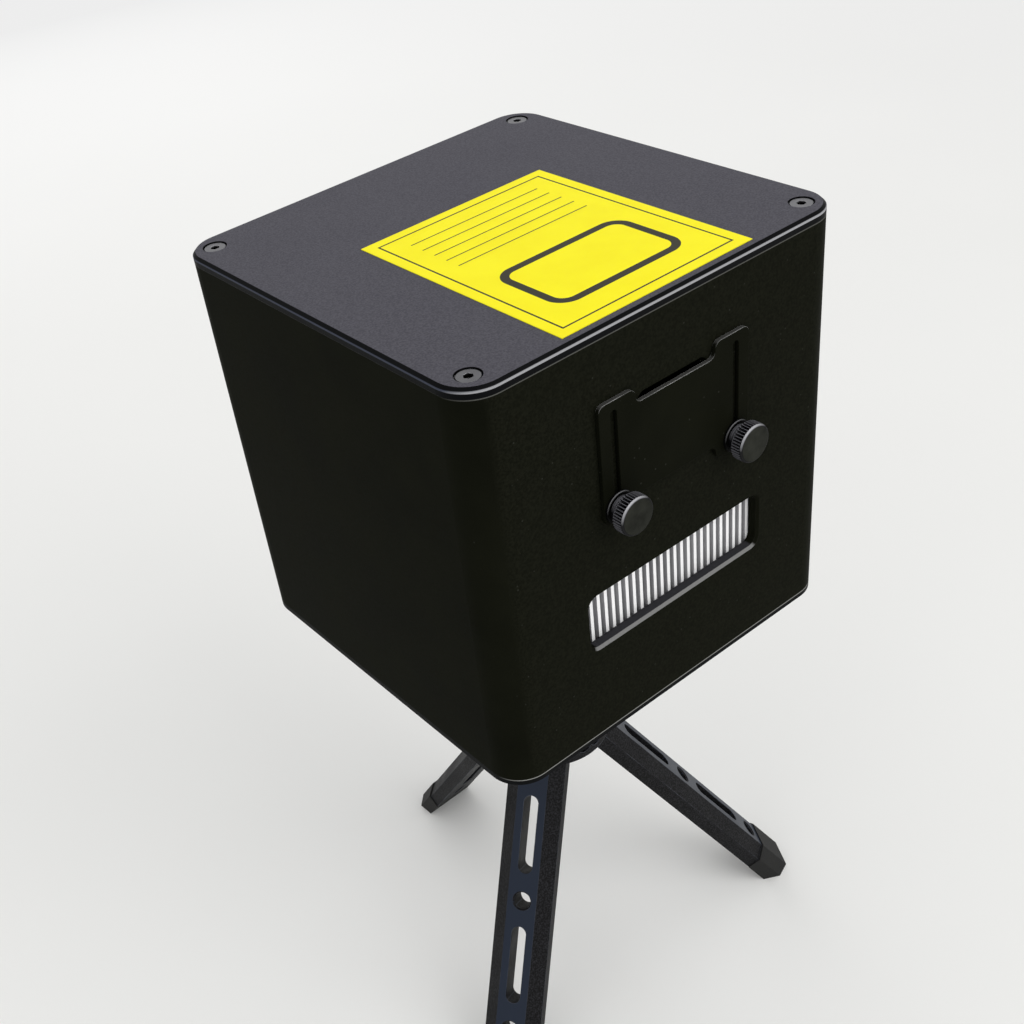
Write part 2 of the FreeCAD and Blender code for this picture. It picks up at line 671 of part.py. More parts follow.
def scanner_clamp():
    half = SCANNER_MOTOR_R + SCANNER_CLAMP_WALL
    start = SCANNER_MOTOR_SETBACK + SCANNER_CLAMP_INSET
    end = start + SCANNER_CLAMP_LENGTH
    back = block(-half + RUNNING, half, scanner_y + start, scanner_y + end, bench_top, beam_z + half)
    side = block(start, end, scanner_y - half, scanner_y + half, bench_top, exit_z + half)
    foot = block(-half + RUNNING, end, scanner_y - half, scanner_y + end, bench_top, bench_top + SCANNER_FOOT)
    past = end + OVERCUT
    bores = [rod(SCANNER_MOTOR_R + RUNNING, at(0, scanner_y, beam_z), at(0, scanner_y + past, beam_z)),
             rod(SCANNER_MOTOR_R + RUNNING, at(0, scanner_y, exit_z), at(past, scanner_y, exit_z))]
    return cut(joined([foot, back, side]), bores)


def scanner_motor(origin, along):
    start = origin.add(along * SCANNER_MOTOR_SETBACK)
    body = rod(SCANNER_MOTOR_R, start, start.add(along * SCANNER_MOTOR_LENGTH))
    return cut(body, [rod(SCANNER_SHAFT_R + RUNNING, start, start.add(along * SCANNER_SHAFT_DEPTH))])


def scanner_shaft(origin, along, mirror_half):
    reach = SCANNER_MOTOR_SETBACK + SCANNER_SHAFT_DEPTH - SEAT
    start = mirror_half - SCANNER_SHAFT_LAP
    return rod(SCANNER_SHAFT_R, origin.add(along * start), origin.add(along * reach))


def scan_mirror_first():
    half = FIRST_MIRROR_SIZE / 2
    thick = SCAN_MIRROR_THICK / 2
    centre = at(0, scanner_y, beam_z)
    plate = block(-half, half, scanner_y - half, scanner_y + half, beam_z - thick, beam_z + thick)
    return joined([turned(plate, centre, Y, -45), scanner_shaft(centre, Y, half)])


def scan_mirror_second():
    length = SECOND_MIRROR_LENGTH / 2
    half = SECOND_MIRROR_WIDTH / 2
    thick = SCAN_MIRROR_THICK / 2
    centre = at(0, scanner_y, exit_z)
    plate = block(-length, length, scanner_y - half, scanner_y + half, exit_z - thick, exit_z + thick)
    return joined([turned(plate, centre, X, -45), scanner_shaft(centre, X, length)])


# Circuit boards on standoffs: rows of (start point, direction) for each fixing

def driver_fixings():
    y_mid = (bench_front_y + bench_rear_y) / 2
    y = driver_length / 2 - BOARD_HOLE_INSET
    low = driver_z + BOARD_HOLE_INSET
    high = driver_z + driver_height - BOARD_HOLE_INSET
    return [at(inner_x, y_mid + side, z) for side in (-y, y) for z in (low, high)]


def control_fixings():
    x = control_half - BOARD_HOLE_INSET
    low = control_z + BOARD_HOLE_INSET
    high = control_z + control_height - BOARD_HOLE_INSET
    return [at(side, inner_rear_y, z) for side in (-x, x) for z in (low, high)]


def standoffs(fixings, inwards, height):
    posts = []
    for wall in fixings:
        top = wall.add(inwards * height)
        post = rod(STANDOFF_R, wall, top)
        posts.append(cut(post, [rod(BOARD_SCREW_R + RUNNING, top.sub(inwards * BOARD_SCREW_LENGTH), top)]))
    return posts


def board_screws(fixings, inwards, height):
    screws = []
    for wall in fixings:
        face = wall.add(inwards * (height + BOARD_THICK))
        head = rod(BOARD_SCREW_HEAD_R, face, face.add(inwards * BOARD_SCREW_HEAD_HEIGHT))
        screws.append(joined([head, rod(BOARD_SCREW_R, face.sub(inwards * BOARD_SCREW_LENGTH), face)]))
    return screws


def board_holes(fixings, inwards, height):
    near = inwards * (height - OVERCUT)
    far = inwards * (height + BOARD_THICK + OVERCUT)
    return [rod(BOARD_SCREW_R + RUNNING, wall.add(near), wall.add(far)) for wall in fixings]


def chip_starts(start, length, count):
    step = length / (count + 1)
    return [start + step * (i + 1) - CHIP_LENGTH / 2 for i in range(count)]


def driver_board():
    y_mid = (bench_front_y + bench_rear_y) / 2
    outer_x = inner_x - DRIVER_STANDOFF
    inner_face = outer_x - BOARD_THICK
    y0 = y_mid - driver_length / 2
    board = block(inner_face, outer_x, y0, y0 + driver_length, driver_z, driver_z + driver_height)
    chips = []
    chip_z = driver_z + (driver_height - CHIP_WIDTH) / 2
    for y in chip_starts(y0, driver_length, DRIVER_CHIP_COUNT):
        chips.append(block(inner_face - CHIP_HEIGHT, inner_face, y, y + CHIP_LENGTH,
                           chip_z, chip_z + CHIP_WIDTH))
    return cut(joined([board] + chips), board_holes(driver_fixings(), X * -1, DRIVER_STANDOFF))


def control_board():
    board = block(-control_half, control_half, control_y - BOARD_THICK, control_y,
                  control_z, control_z + control_height)
    chips = []
    face_y = control_y - BOARD_THICK
    chip_z = control_z + (control_height - CHIP_WIDTH) / 2
    for chip_x in chip_starts(-control_half, 2 * control_half, CONTROL_CHIP_COUNT):
        chips.append(block(chip_x, chip_x + CHIP_LENGTH, face_y - CHIP_HEIGHT, face_y,
                           chip_z, chip_z + CHIP_WIDTH))
    return cut(joined([board] + chips), board_holes(control_fixings(), Y * -1, CONTROL_STANDOFF))


# Fan and guard

def fan_holes():
    s = FAN_HOLE_SPACING / 2
    return [(x, fan_z + z) for x in (-s, s) for z in (-s, s)]


def fan_frame():
    half = FAN_SIZE / 2
    frame = soft_block(-half, half, fan_front_y, inner_rear_y, fan_z - half, fan_z + half,
                       FAN_CORNER_R, Y)
    before = fan_front_y - OVERCUT
    behind = inner_rear_y + OVERCUT
    ring = cut(frame, [rod(FAN_BORE_R, at(0, before, fan_z), at(0, behind, fan_z))])
    stator_back = fan_front_y + FAN_STATOR_THICK
    stator = rod(FAN_HUB_R, at(0, fan_front_y, fan_z), at(0, stator_back, fan_z))
    strut = block(-FAN_STRUT_WIDTH / 2, FAN_STRUT_WIDTH / 2, fan_front_y, stator_back,
                  fan_z, fan_z + FAN_BORE_R + FAN_STRUT_ROOT)
    struts = [turned(strut, at(0, 0, fan_z), Y, 90 * i + 45) for i in range(4)]
    shaft_end = at(0, stator_back + FAN_ROTOR_LENGTH, fan_z)
    shaft = rod(FAN_SHAFT_R, at(0, fan_front_y, fan_z), shaft_end)
    holes = []
    for x, z in fan_holes():
        holes.append(rod(FAN_SCREW_R + RUNNING, at(x, before, z), at(x, behind, z)))
    return cut(joined([ring, stator, shaft] + struts), holes)


def fan_rotor():
    y0 = fan_front_y + FAN_STATOR_THICK + FAN_ROTOR_GAP
    y1 = y0 + FAN_ROTOR_LENGTH
    y_mid = (y0 + y1) / 2
    hub = rod(FAN_HUB_R, at(0, y0, fan_z), at(0, y1, fan_z))
    tip = FAN_BORE_R - FAN_BLADE_GAP
    chord = FAN_BLADE_CHORD / 2
    thick = FAN_BLADE_THICK / 2
    blade = block(-chord, chord, y_mid - thick, y_mid + thick, fan_z, fan_z + FAN_BORE_R)
    blade = turned(blade, at(0, y_mid, fan_z), Z, FAN_BLADE_ANGLE)
    sweep = rod(tip, at(0, y0, fan_z), at(0, y1, fan_z))
    step = 360.0 / FAN_BLADE_COUNT
    blades = [turned(blade, at(0, 0, fan_z), Y, step * i) for i in range(FAN_BLADE_COUNT)]
    wheel = joined([hub] + blades).common(sweep)
    bore = rod(FAN_SHAFT_R + RUNNING, at(0, y0 - OVERCUT, fan_z), at(0, y1 + OVERCUT, fan_z))
    return cut(wheel, [bore])


def fan_guard():
    # spokes and their end loops lie on the wall, the rings are welded across the spokes
    y = rear_y + GUARD_WIRE_R
    centre = at(0, y, fan_z)
    ring_centre = centre.add(Y * (2 * GUARD_WIRE_R - GUARD_WELD))
    wires = []
    for i in range(GUARD_RING_COUNT):
        wires.append(Part.makeTorus(GUARD_RING_STEP * (i + 1), GUARD_WIRE_R, ring_centre, Y))
    loop_r = FAN_SCREW_R + GUARD_WIRE_R + 2 * SEAT
    for x, z in fan_holes():
        corner = at(x, y, z)
        inward = centre.sub(corner).normalize()
        inner_end = centre.sub(inward * (GUARD_RING_STEP - GUARD_SPOKE_PAST_RING))
        wires.append(rod(GUARD_WIRE_R, corner.add(inward * loop_r), inner_end))
        wires.append(Part.makeTorus(loop_r, GUARD_WIRE_R, corner, Y))
    guard = wires[0]
    for wire in wires[1:]:
        guard = guard.fuse(wire)
    return guard


def fan_screws():
    screws = []
    under_head = rear_y + 2 * GUARD_WIRE_R
    for x, z in fan_holes():
        head = rod(FAN_SCREW_HEAD_R, at(x, under_head, z), at(x, under_head + FAN_SCREW_HEAD_HEIGHT, z))
        shank = rod(FAN_SCREW_R, at(x, under_head - FAN_SCREW_LENGTH, z), at(x, under_head, z))
        screws.append(joined([head, shank]))
    return Part.Compound(screws)


# Rear sockets and switches

def scan_jacks():
    return (-SCAN_JACK_SPACING / 2, SCAN_JACK_SPACING / 2)


def scan_socket():
    x = SCAN_SOCKET_WIDTH / 2
    z = SCAN_SOCKET_HEIGHT / 2
    flange = block(-x, x, rear_y, rear_y + SCAN_SOCKET_FLANGE, scan_socket_z - z, scan_socket_z + z)
    shell = soft_block(-SCAN_SHELL_WIDTH / 2, SCAN_SHELL_WIDTH / 2, control_y, rear_y + SCAN_SHELL_PROUD,
                       scan_socket_z - SCAN_SHELL_HEIGHT / 2, scan_socket_z + SCAN_SHELL_HEIGHT / 2,
                       SCAN_SHELL_CORNER_R, Y)
    face_y = rear_y + SCAN_SHELL_PROUD
    pins = []
    for row, count in ((0.5, SCAN_PIN_COUNT), (-0.5, SCAN_PIN_COUNT - 1)):
        for i in range(count):
            pin_x = (i - (count - 1) / 2) * SCAN_PIN_PITCH
            pin_z = scan_socket_z + row * SCAN_PIN_ROW
            inner = at(pin_x, face_y - SCAN_PIN_DEPTH, pin_z)
            pins.append(rod(SCAN_PIN_R, inner, at(pin_x, face_y + OVERCUT, pin_z)))
    holes = []
    for jack_x in scan_jacks():
        inside = at(jack_x, rear_y - OVERCUT, scan_socket_z)
        holes.append(rod(SCAN_JACK_STUD_R + RUNNING, inside, at(jack_x, face_y, scan_socket_z)))
    return cut(joined([flange, shell]), pins + holes)


def scan_jack_screws():
    screws = []
    start = rear_y + SCAN_SOCKET_FLANGE
    for x in scan_jacks():
        points = []
        for i in range(6):
            angle = math.radians(60 * i)
            dx = SCAN_JACK_R * math.cos(angle)
            dz = SCAN_JACK_R * math.sin(angle)
            points.append(at(x + dx, start, scan_socket_z + dz))
        head = prism(points, Y * SCAN_JACK_PROUD)
        stud = rod(SCAN_JACK_STUD_R, at(x, inner_rear_y, scan_socket_z), at(x, start, scan_socket_z))
        screws.append(joined([head, stud]))
    return Part.Compound(screws)


def data_socket_places():
    return [DATA_SOCKET_X - DATA_SOCKET_PITCH / 2, DATA_SOCKET_X + DATA_SOCKET_PITCH / 2]


def data_socket(x):
    half = DATA_SOCKET_WIDTH / 2
    face_y = rear_y + DATA_SOCKET_PROUD
    z = DATA_SOCKET_HEIGHT / 2
    body = block(x - half, x + half, control_y, face_y, socket_row_z - z, socket_row_z + z)
    port = block(x - DATA_PORT_WIDTH / 2, x + DATA_PORT_WIDTH / 2, face_y - DATA_PORT_DEPTH, face_y + OVERCUT,
                 socket_row_z - DATA_PORT_HEIGHT / 2, socket_row_z + DATA_PORT_HEIGHT / 2)
    return cut(body, [port])


def power_jack():
    x = POWER_JACK_X
    face_y = rear_y + POWER_JACK_FLANGE
    back_y = face_y - POWER_JACK_LENGTH
    bore_y = face_y - POWER_JACK_BORE_DEPTH
    z = socket_row_z
    body = joined([rod(POWER_JACK_R, at(x, back_y, z), at(x, face_y, z)),
                   rod(POWER_JACK_FLANGE_R, at(x, rear_y, z), at(x, face_y, z))])
    hollow = cut(body, [rod(POWER_JACK_BORE_R, at(x, bore_y, z), at(x, face_y + OVERCUT, z))])
    pin_end = at(x, face_y - POWER_JACK_PIN_SETBACK, z)
    return joined([hollow, rod(POWER_JACK_PIN_R, at(x, bore_y - OVERCUT, z), pin_end)])


def rocker_pivot():
    return at(SWITCH_X, rear_y + SWITCH_BEZEL - ROCKER_PIVOT_DEPTH, socket_row_z)


def switch_body():
    x = SWITCH_X
    z = socket_row_z
    face_y = rear_y + SWITCH_BEZEL
    bezel = block(x - SWITCH_BEZEL_WIDTH / 2, x + SWITCH_BEZEL_WIDTH / 2, rear_y, face_y,
                  z - SWITCH_BEZEL_HEIGHT / 2, z + SWITCH_BEZEL_HEIGHT / 2)
    body = block(x - SWITCH_WIDTH / 2, x + SWITCH_WIDTH / 2, rear_y - SWITCH_LENGTH, rear_y,
                 z - SWITCH_HEIGHT / 2, z + SWITCH_HEIGHT / 2)
    pocket = block(x - SWITCH_POCKET_WIDTH / 2, x + SWITCH_POCKET_WIDTH / 2,
                   face_y - SWITCH_POCKET_DEPTH, face_y + OVERCUT,
                   z - SWITCH_POCKET_HEIGHT / 2, z + SWITCH_POCKET_HEIGHT / 2)
    reach = SWITCH_POCKET_WIDTH / 2 - ROCKER_SIDE_GAP + ROCKER_PIN_LENGTH + RUNNING
    pivot = rocker_pivot()
    pin_bore = rod(ROCKER_PIN_R + RUNNING, pivot.sub(X * reach), pivot.add(X * reach))
    return cut(joined([bezel, body]), [pocket, pin_bore])


def switch_rocker():
    pivot = rocker_pivot()
    half = SWITCH_POCKET_WIDTH / 2 - ROCKER_SIDE_GAP
    key = block(pivot.x - half, pivot.x + half, pivot.y - ROCKER_BELOW_PIVOT, pivot.y + ROCKER_ABOVE_PIVOT,
                pivot.z - ROCKER_HEIGHT / 2, pivot.z + ROCKER_HEIGHT / 2)
    scoop_y = pivot.y + ROCKER_ABOVE_PIVOT + ROCKER_SCOOP_R - ROCKER_SCOOP_DEPTH
    scoop_reach = half + OVERCUT
    scoop = rod(ROCKER_SCOOP_R, at(pivot.x - scoop_reach, scoop_y, pivot.z),
                at(pivot.x + scoop_reach, scoop_y, pivot.z))
    reach = half + ROCKER_PIN_LENGTH
    pin = rod(ROCKER_PIN_R, pivot.sub(X * reach), pivot.add(X * reach))
    return turned(joined([cut(key, [scoop]), pin]), pivot, X, ROCKER_TILT_ANGLE)


def key_switch_body():
    x = KEY_SWITCH_X
    z = socket_row_z
    face_y = rear_y + KEY_FLANGE
    body = joined([rod(KEY_FLANGE_R, at(x, rear_y, z), at(x, face_y, z)),
                   rod(KEY_BODY_R, at(x, rear_y - KEY_BODY_LENGTH, z), at(x, face_y, z))])
    bore_end = at(x, face_y - KEY_BARREL_LENGTH, z)
    return cut(body, [rod(KEY_BARREL_R + RUNNING, bore_end, at(x, face_y + OVERCUT, z))])


def key_barrel():
    x = KEY_SWITCH_X
    z = socket_row_z
    face_y = rear_y + KEY_FLANGE + KEY_BARREL_PROUD
    inner_end = rear_y + KEY_FLANGE - KEY_BARREL_LENGTH + SEAT
    barrel = rod(KEY_BARREL_R, at(x, inner_end, z), at(x, face_y, z))
    slot = block(x - KEY_SLOT_WIDTH / 2, x + KEY_SLOT_WIDTH / 2, face_y - KEY_SLOT_DEPTH, face_y + OVERCUT,
                 z - KEY_SLOT_HEIGHT / 2, z + KEY_SLOT_HEIGHT / 2)
    return cut(barrel, [slot])


# Ball head

def camera_stud():
    return rod(STUD_R, at(0, 0, plate_bottom - STEM_BORE_DEPTH + SEAT), at(0, 0, case_base + STUD_ENGAGEMENT))


def plate_pad():
    pad = rod(HEAD_PLATE_R - PAD_MARGIN, at(0, 0, plate_top), at(0, 0, case_base))
    return cut(pad, [rod(PAD_BORE_R, at(0, 0, plate_top - OVERCUT), at(0, 0, case_base + OVERCUT))])


def head_plate():
    plate = rod(HEAD_PLATE_R, at(0, 0, plate_bottom), at(0, 0, plate_top))
    plate = plate.makeChamfer(HEAD_PLATE_CHAMFER, round_edges(plate))
    bore = rod(STUD_R + RUNNING, at(0, 0, plate_bottom - OVERCUT), at(0, 0, plate_top + OVERCUT))
    return cut(plate, [bore])


def ball_stem():
    ball = Part.makeSphere(BALL_R, at(0, 0, ball_z))
    stem = rod(STEM_R, at(0, 0, ball_z), at(0, 0, plate_bottom))
    bore = rod(STUD_R + RUNNING, at(0, 0, plate_bottom - STEM_BORE_DEPTH), at(0, 0, plate_bottom + OVERCUT))
    return cut(joined([ball, stem]), [bore])


def ball_housing():
    rim_z = ball_z + HOUSING_ABOVE_BALL
    body = rod(HOUSING_R, at(0, 0, housing_bottom), at(0, 0, rim_z))
    body = body.makeChamfer(HOUSING_CHAMFER, round_edges(body))
    cavity = Part.makeSphere(BALL_R + BALL_GAP, at(0, 0, ball_z))
    screw = rod(LOCK_SCREW_R + RUNNING, at(BALL_R, 0, ball_z), at(HOUSING_R + OVERCUT, 0, ball_z))
    bolt_top = housing_bottom - PAN_GAP + PAN_BOLT_ENGAGEMENT + SEAT
    bolt = rod(PAN_BOLT_R + RUNNING, at(0, 0, housing_bottom - OVERCUT), at(0, 0, bolt_top))
    return cut(body, [cavity, screw, bolt])


def lock_knob():
    tip = BALL_R + BALL_GAP
    start = HOUSING_R + LOCK_KNOB_GAP
    knob = rod(LOCK_KNOB_R, at(start, 0, ball_z), at(start + LOCK_KNOB_LENGTH, 0, ball_z))
    grips = []
    for i in range(LOCK_KNOB_LOBES):
        angle = math.radians(360.0 * i / LOCK_KNOB_LOBES)
        y = (LOCK_KNOB_R + LOCK_KNOB_LOBE_OUT) * math.cos(angle)
        z = ball_z + (LOCK_KNOB_R + LOCK_KNOB_LOBE_OUT) * math.sin(angle)
        end = start + LOCK_KNOB_LENGTH + OVERCUT
        grips.append(rod(LOCK_KNOB_LOBE_R, at(start - OVERCUT, y, z), at(end, y, z)))
    screw = rod(LOCK_SCREW_R, at(tip, 0, ball_z), at(start + OVERCUT, 0, ball_z))
    return joined([cut(knob, grips), screw])


# Tripod hub and legs, one leg built upright along -Z from its pivot and then spread and turned

def placed_leg(shape, azimuth):
    copy = shape.copy()
    copy.rotate(at(0, 0, 0), Y, -LEG_SPLAY_ANGLE)
    copy.translate(at(LEG_PIVOT_R, 0, pivot_z))
    copy.rotate(at(0, 0, 0), Z, azimuth)
    return copy


def leg_section(grow, low, high):
    face = LEG_FACE_WIDTH / 2 + grow
    side = LEG_WIDTH / 2 + grow
    front = leg_half + grow
    shoulder = front - LEG_BEVEL_DEPTH
    half_outline = [(-leg_half, side), (shoulder, side), (front, face)]
    outline = half_outline + [(n, -t) for n, t in reversed(half_outline)]
    return prism([at(n, t, low) for n, t in outline], Z * (high - low))


def leg_holes():
    tools = []
    back = -leg_half - OVERCUT
    front = leg_half + OVERCUT
    half = LEG_SLOT_WIDTH / 2
    for row in range(2):
        start = LEG_SLOT_START + row * leg_row_pitch
        ends = (start + half, start + leg_slot_length - half)
        slot = block(back, front, -half, half, -ends[1], -ends[0])
        tools.append(slot.multiFuse([rod(half, at(back, 0, -s), at(front, 0, -s)) for s in ends]))
        s = leg_hole_place(row)
        tools.append(rod(LEG_HOLE_R, at(back, 0, -s), at(front, 0, -s)))
        mouth = at(leg_half - LEG_HOLE_CHAMFER, 0, -s)
        tools.append(cone(LEG_HOLE_R, LEG_HOLE_R + LEG_HOLE_CHAMFER, mouth, at(leg_half, 0, -s)))
    return tools


def leg_hole_place(row):
    return LEG_SLOT_START + row * leg_row_pitch + leg_slot_length + LEG_HOLE_FROM_SLOT


def foot_spigot(grow):
    n = FOOT_SPIGOT_THICK / 2 + grow
    t = FOOT_SPIGOT_WIDTH / 2 + grow
    return block(-n, n, -t, t, -foot_top - FOOT_SPIGOT_LENGTH - grow, -foot_top)


def leg():
    bar = leg_section(0, -foot_top, leg_half)
    round_top = rod(leg_half, at(0, -LEG_WIDTH, 0), at(0, LEG_WIDTH, 0))
    below = block(-LEG_THICK, LEG_THICK, -LEG_WIDTH, LEG_WIDTH, -LEG_LENGTH, 0)
    bar = bar.common(round_top.fuse(below))
    spigot = foot_spigot(0)
    pin_bore = rod(LEG_PIN_R + RUNNING, at(0, -LEG_WIDTH, 0), at(0, LEG_WIDTH, 0))
    return cut(joined([bar, spigot]), leg_holes() + [pin_bore])


def foot(azimuth):
    boot = leg_section(FOOT_LIP, -foot_top - 2 * FOOT_LENGTH, -foot_top)
    boot = placed_leg(cut(boot, [foot_spigot(SEAT)]), azimuth)
    reach = 4 * LEG_LENGTH
    return boot.common(Part.makeBox(reach, reach, reach, at(-reach / 2, -reach / 2, 0)))


def hub_slot():
    half = LEG_WIDTH / 2 + LEG_CLEARANCE
    inside = LEG_PIVOT_R - leg_half - LEG_CLEARANCE
    outside = LEG_PIVOT_R + leg_half + LEG_CLEARANCE
    roof = pivot_z + leg_half + LEG_CLEARANCE

    def stop_z(r):
        # height of the stop face, which lies along the spread leg's outer face
        reach = (leg_half + LEG_CLEARANCE) / math.sin(splay)
        return pivot_z + reach - (r - LEG_PIVOT_R) / math.tan(splay)

    far = HUB_R + LEG_WIDTH
    below = hub_bottom - LEG_WIDTH
    outline = [(inside, below), (inside, roof), (outside, roof), (outside, stop_z(outside))]
    outline += [(far, stop_z(far)), (far, min(below, stop_z(far) - LEG_WIDTH))]
    return prism([at(r, -half, z) for r, z in outline], Y * (2 * half))


def tripod_hub():
    body = rod(HUB_R, at(0, 0, hub_bottom), at(0, 0, hub_top))
    top_edge = [e for e in round_edges(body) if e.BoundBox.ZMin > hub_bottom + HUB_CHAMFER]
    body = body.makeChamfer(HUB_CHAMFER, top_edge)
    slot = hub_slot()
    pin = rod(LEG_PIN_R + RUNNING, at(LEG_PIVOT_R, -HUB_R, pivot_z), at(LEG_PIVOT_R, HUB_R, pivot_z))
    tools = []
    for name in leg_angles:
        tools += [turned(tool, at(0, 0, 0), Z, leg_angles[name]) for tool in (slot, pin)]
    head_top = hub_bottom + PAN_BOLT_HEAD_HEIGHT + SEAT
    tools.append(rod(PAN_BOLT_R + RUNNING, at(0, 0, hub_bottom - OVERCUT), at(0, 0, hub_top + OVERCUT)))
    tools.append(rod(PAN_BOLT_HEAD_R + SEAT, at(0, 0, hub_bottom - OVERCUT), at(0, 0, head_top)))
    return cut(body, tools)


def pan_bolt():
    head_top = hub_bottom + PAN_BOLT_HEAD_HEIGHT + SEAT
    head = rod(PAN_BOLT_HEAD_R, at(0, 0, head_top - PAN_BOLT_HEAD_HEIGHT), at(0, 0, head_top))
    return joined([head, rod(PAN_BOLT_R, at(0, 0, head_top), at(0, 0, hub_top + PAN_BOLT_ENGAGEMENT))])


def leg_pins():
    pin = rod(LEG_PIN_R, at(LEG_PIVOT_R, -LEG_PIN_REACH, pivot_z), at(LEG_PIVOT_R, LEG_PIN_REACH, pivot_z))
    return Part.Compound([turned(pin, at(0, 0, 0), Z, leg_angles[name]) for name in leg_angles])


# The pieces by node name; those of the case are built from its underside and lifted onto the pad

case_nodes = {
    "case_sleeve": case_sleeve(),
    "top_cover": cover(CASE_HEIGHT, 1),
    "top_cover_screws": cover_screws(CASE_HEIGHT, 1),
    "bottom_cover": bottom_cover(),
    "bottom_cover_screws": cover_screws(0, -1),
    "top_label": top_label(),
    "tripod_bush": tripod_bush(),
    "mask_plate": mask_plate(),
    "thumbscrew_left": thumbscrew(-thumbscrew_x),
    "thumbscrew_right": thumbscrew(thumbscrew_x),
    "aperture_glass": aperture_glass(),
    "glass_frame": glass_frame(),
    "heat_sink": heat_sink(),
    "optical_bench": optical_bench(),
    "bench_posts": bench_posts(),
    "bench_screws": bench_screws(),
    "laser_red": laser_module(0),
    "laser_green": laser_module(1),
    "laser_blue": laser_module(2),
    "dichroic_red": combiner_mirror(0),
    "dichroic_green": combiner_mirror(1),
    "turning_mirror": combiner_mirror(2),
    "mirror_posts": mirror_posts(),
    "scanner_clamp": scanner_clamp(),
    "scanner_motor_x": scanner_motor(at(0, scanner_y, beam_z), Y),
    "scanner_motor_y": scanner_motor(at(0, scanner_y, exit_z), X),
    "scan_mirror_x": scan_mirror_first(),
    "scan_mirror_y": scan_mirror_second(),
    "driver_board": driver_board(),
    "control_board": control_board(),
    "board_standoffs": Part.Compound(standoffs(driver_fixings(), X * -1, DRIVER_STANDOFF)
                                     + standoffs(control_fixings(), Y * -1, CONTROL_STANDOFF)),
    "board_screws": Part.Compound(board_screws(driver_fixings(), X * -1, DRIVER_STANDOFF)
                                  + board_screws(control_fixings(), Y * -1, CONTROL_STANDOFF)),
    "fan_frame": fan_frame(),
    "fan_rotor": fan_rotor(),
    "fan_guard": fan_guard(),
    "fan_screws": fan_screws(),
    "scan_socket": scan_socket(),
    "scan_jack_screws": scan_jack_screws(),
    "data_socket_in": data_socket(data_socket_places()[0]),
    "data_socket_out": data_socket(data_socket_places()[1]),
    "power_jack": power_jack(),
    "switch_body": switch_body(),
    "switch_rocker": switch_rocker(),
    "key_switch_body": key_switch_body(),
    "key_barrel": key_barrel(),
}
stand_nodes = {
    "camera_stud": camera_stud(),
    "plate_pad": plate_pad(),
    "head_plate": head_plate(),
    "ball_stem": ball_stem(),
    "ball_housing": ball_housing(),
    "lock_knob": lock_knob(),
    "tripod_hub": tripod_hub(),
    "pan_bolt": pan_bolt(),
    "leg_pins": leg_pins(),
}
for leg_name, leg_angle in leg_angles.items():
    stand_nodes["leg_" + leg_name] = placed_leg(leg(), leg_angle)
    stand_nodes["foot_" + leg_name] = foot(leg_angle)

for shape in case_nodes.values():
    shape.translate(at(0, 0, case_base))
nodes = {**case_nodes, **stand_nodes}

# The origin goes to the middle of the footprint, on the ground
whole = FreeCAD.BoundBox()
for shape in nodes.values():
    whole.add(shape.optimalBoundingBox(False))
shift = at(-(whole.XMin + whole.XMax) / 2, -(whole.YMin + whole.YMax) / 2, -whole.ZMin)

os.makedirs("parts", exist_ok=True)
for name, shape in nodes.items():
    shape.translate(shift)
    shape.exportStep("parts/" + name + ".step")

# Joint and mount places, in millimetres, for the record
print("shift", shift)
print("size", whole.XLength, whole.YLength, whole.ZLength)
print("case_base", case_base, "hub_top", hub_top, "ball_z", ball_z, "pivot_z", pivot_z)
print("fan_z", fan_z, "socket_row_z", socket_row_z, "vent_z", vent_z)
print("exit_z", exit_z, "beam_z", beam_z, "thumbscrew_z", thumbscrew_z)
for leg_name in leg_angles:
    print("leg", leg_name, "azimuth", leg_angles[leg_name])
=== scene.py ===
import json
import math

import bpy
from mathutils import Matrix, Vector


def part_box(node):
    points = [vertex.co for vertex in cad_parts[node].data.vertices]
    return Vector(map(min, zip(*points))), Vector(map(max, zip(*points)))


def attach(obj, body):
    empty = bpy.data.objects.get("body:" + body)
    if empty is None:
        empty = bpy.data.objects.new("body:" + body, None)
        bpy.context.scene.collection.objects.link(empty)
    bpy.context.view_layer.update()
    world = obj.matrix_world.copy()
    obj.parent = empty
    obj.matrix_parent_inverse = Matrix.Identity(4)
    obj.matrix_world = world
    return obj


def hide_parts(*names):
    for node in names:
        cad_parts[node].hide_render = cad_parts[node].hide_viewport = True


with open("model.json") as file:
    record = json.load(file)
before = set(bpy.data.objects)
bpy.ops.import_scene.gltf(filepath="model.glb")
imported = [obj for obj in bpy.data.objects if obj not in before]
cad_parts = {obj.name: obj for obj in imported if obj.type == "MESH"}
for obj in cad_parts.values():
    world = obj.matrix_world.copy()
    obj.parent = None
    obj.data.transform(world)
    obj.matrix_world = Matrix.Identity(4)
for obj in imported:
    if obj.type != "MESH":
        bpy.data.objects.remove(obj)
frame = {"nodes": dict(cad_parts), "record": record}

# Laser show projector on a table tripod: finishes, small turned and bent pieces, camera, floor and light.
# Everything is in metres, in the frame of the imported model.

scene = bpy.context.scene
scene.view_settings.view_transform = "Standard"
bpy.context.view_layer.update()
mm = 0.001
print("frame loaded, nodes:", len(frame["nodes"]))


# Camera, from the edges of the case

cameraLook = {
    "azimuth": -32.3471, "elevation": 36.9369, "roll": -9.5422,
    "place": (-0.222833, -0.294079, 0.463091), "clip": (0.01, 50.0),
    "sensor": 36.0, "lens": 46.737, "shiftX": 0.0789, "shiftY": 0.0445,
}


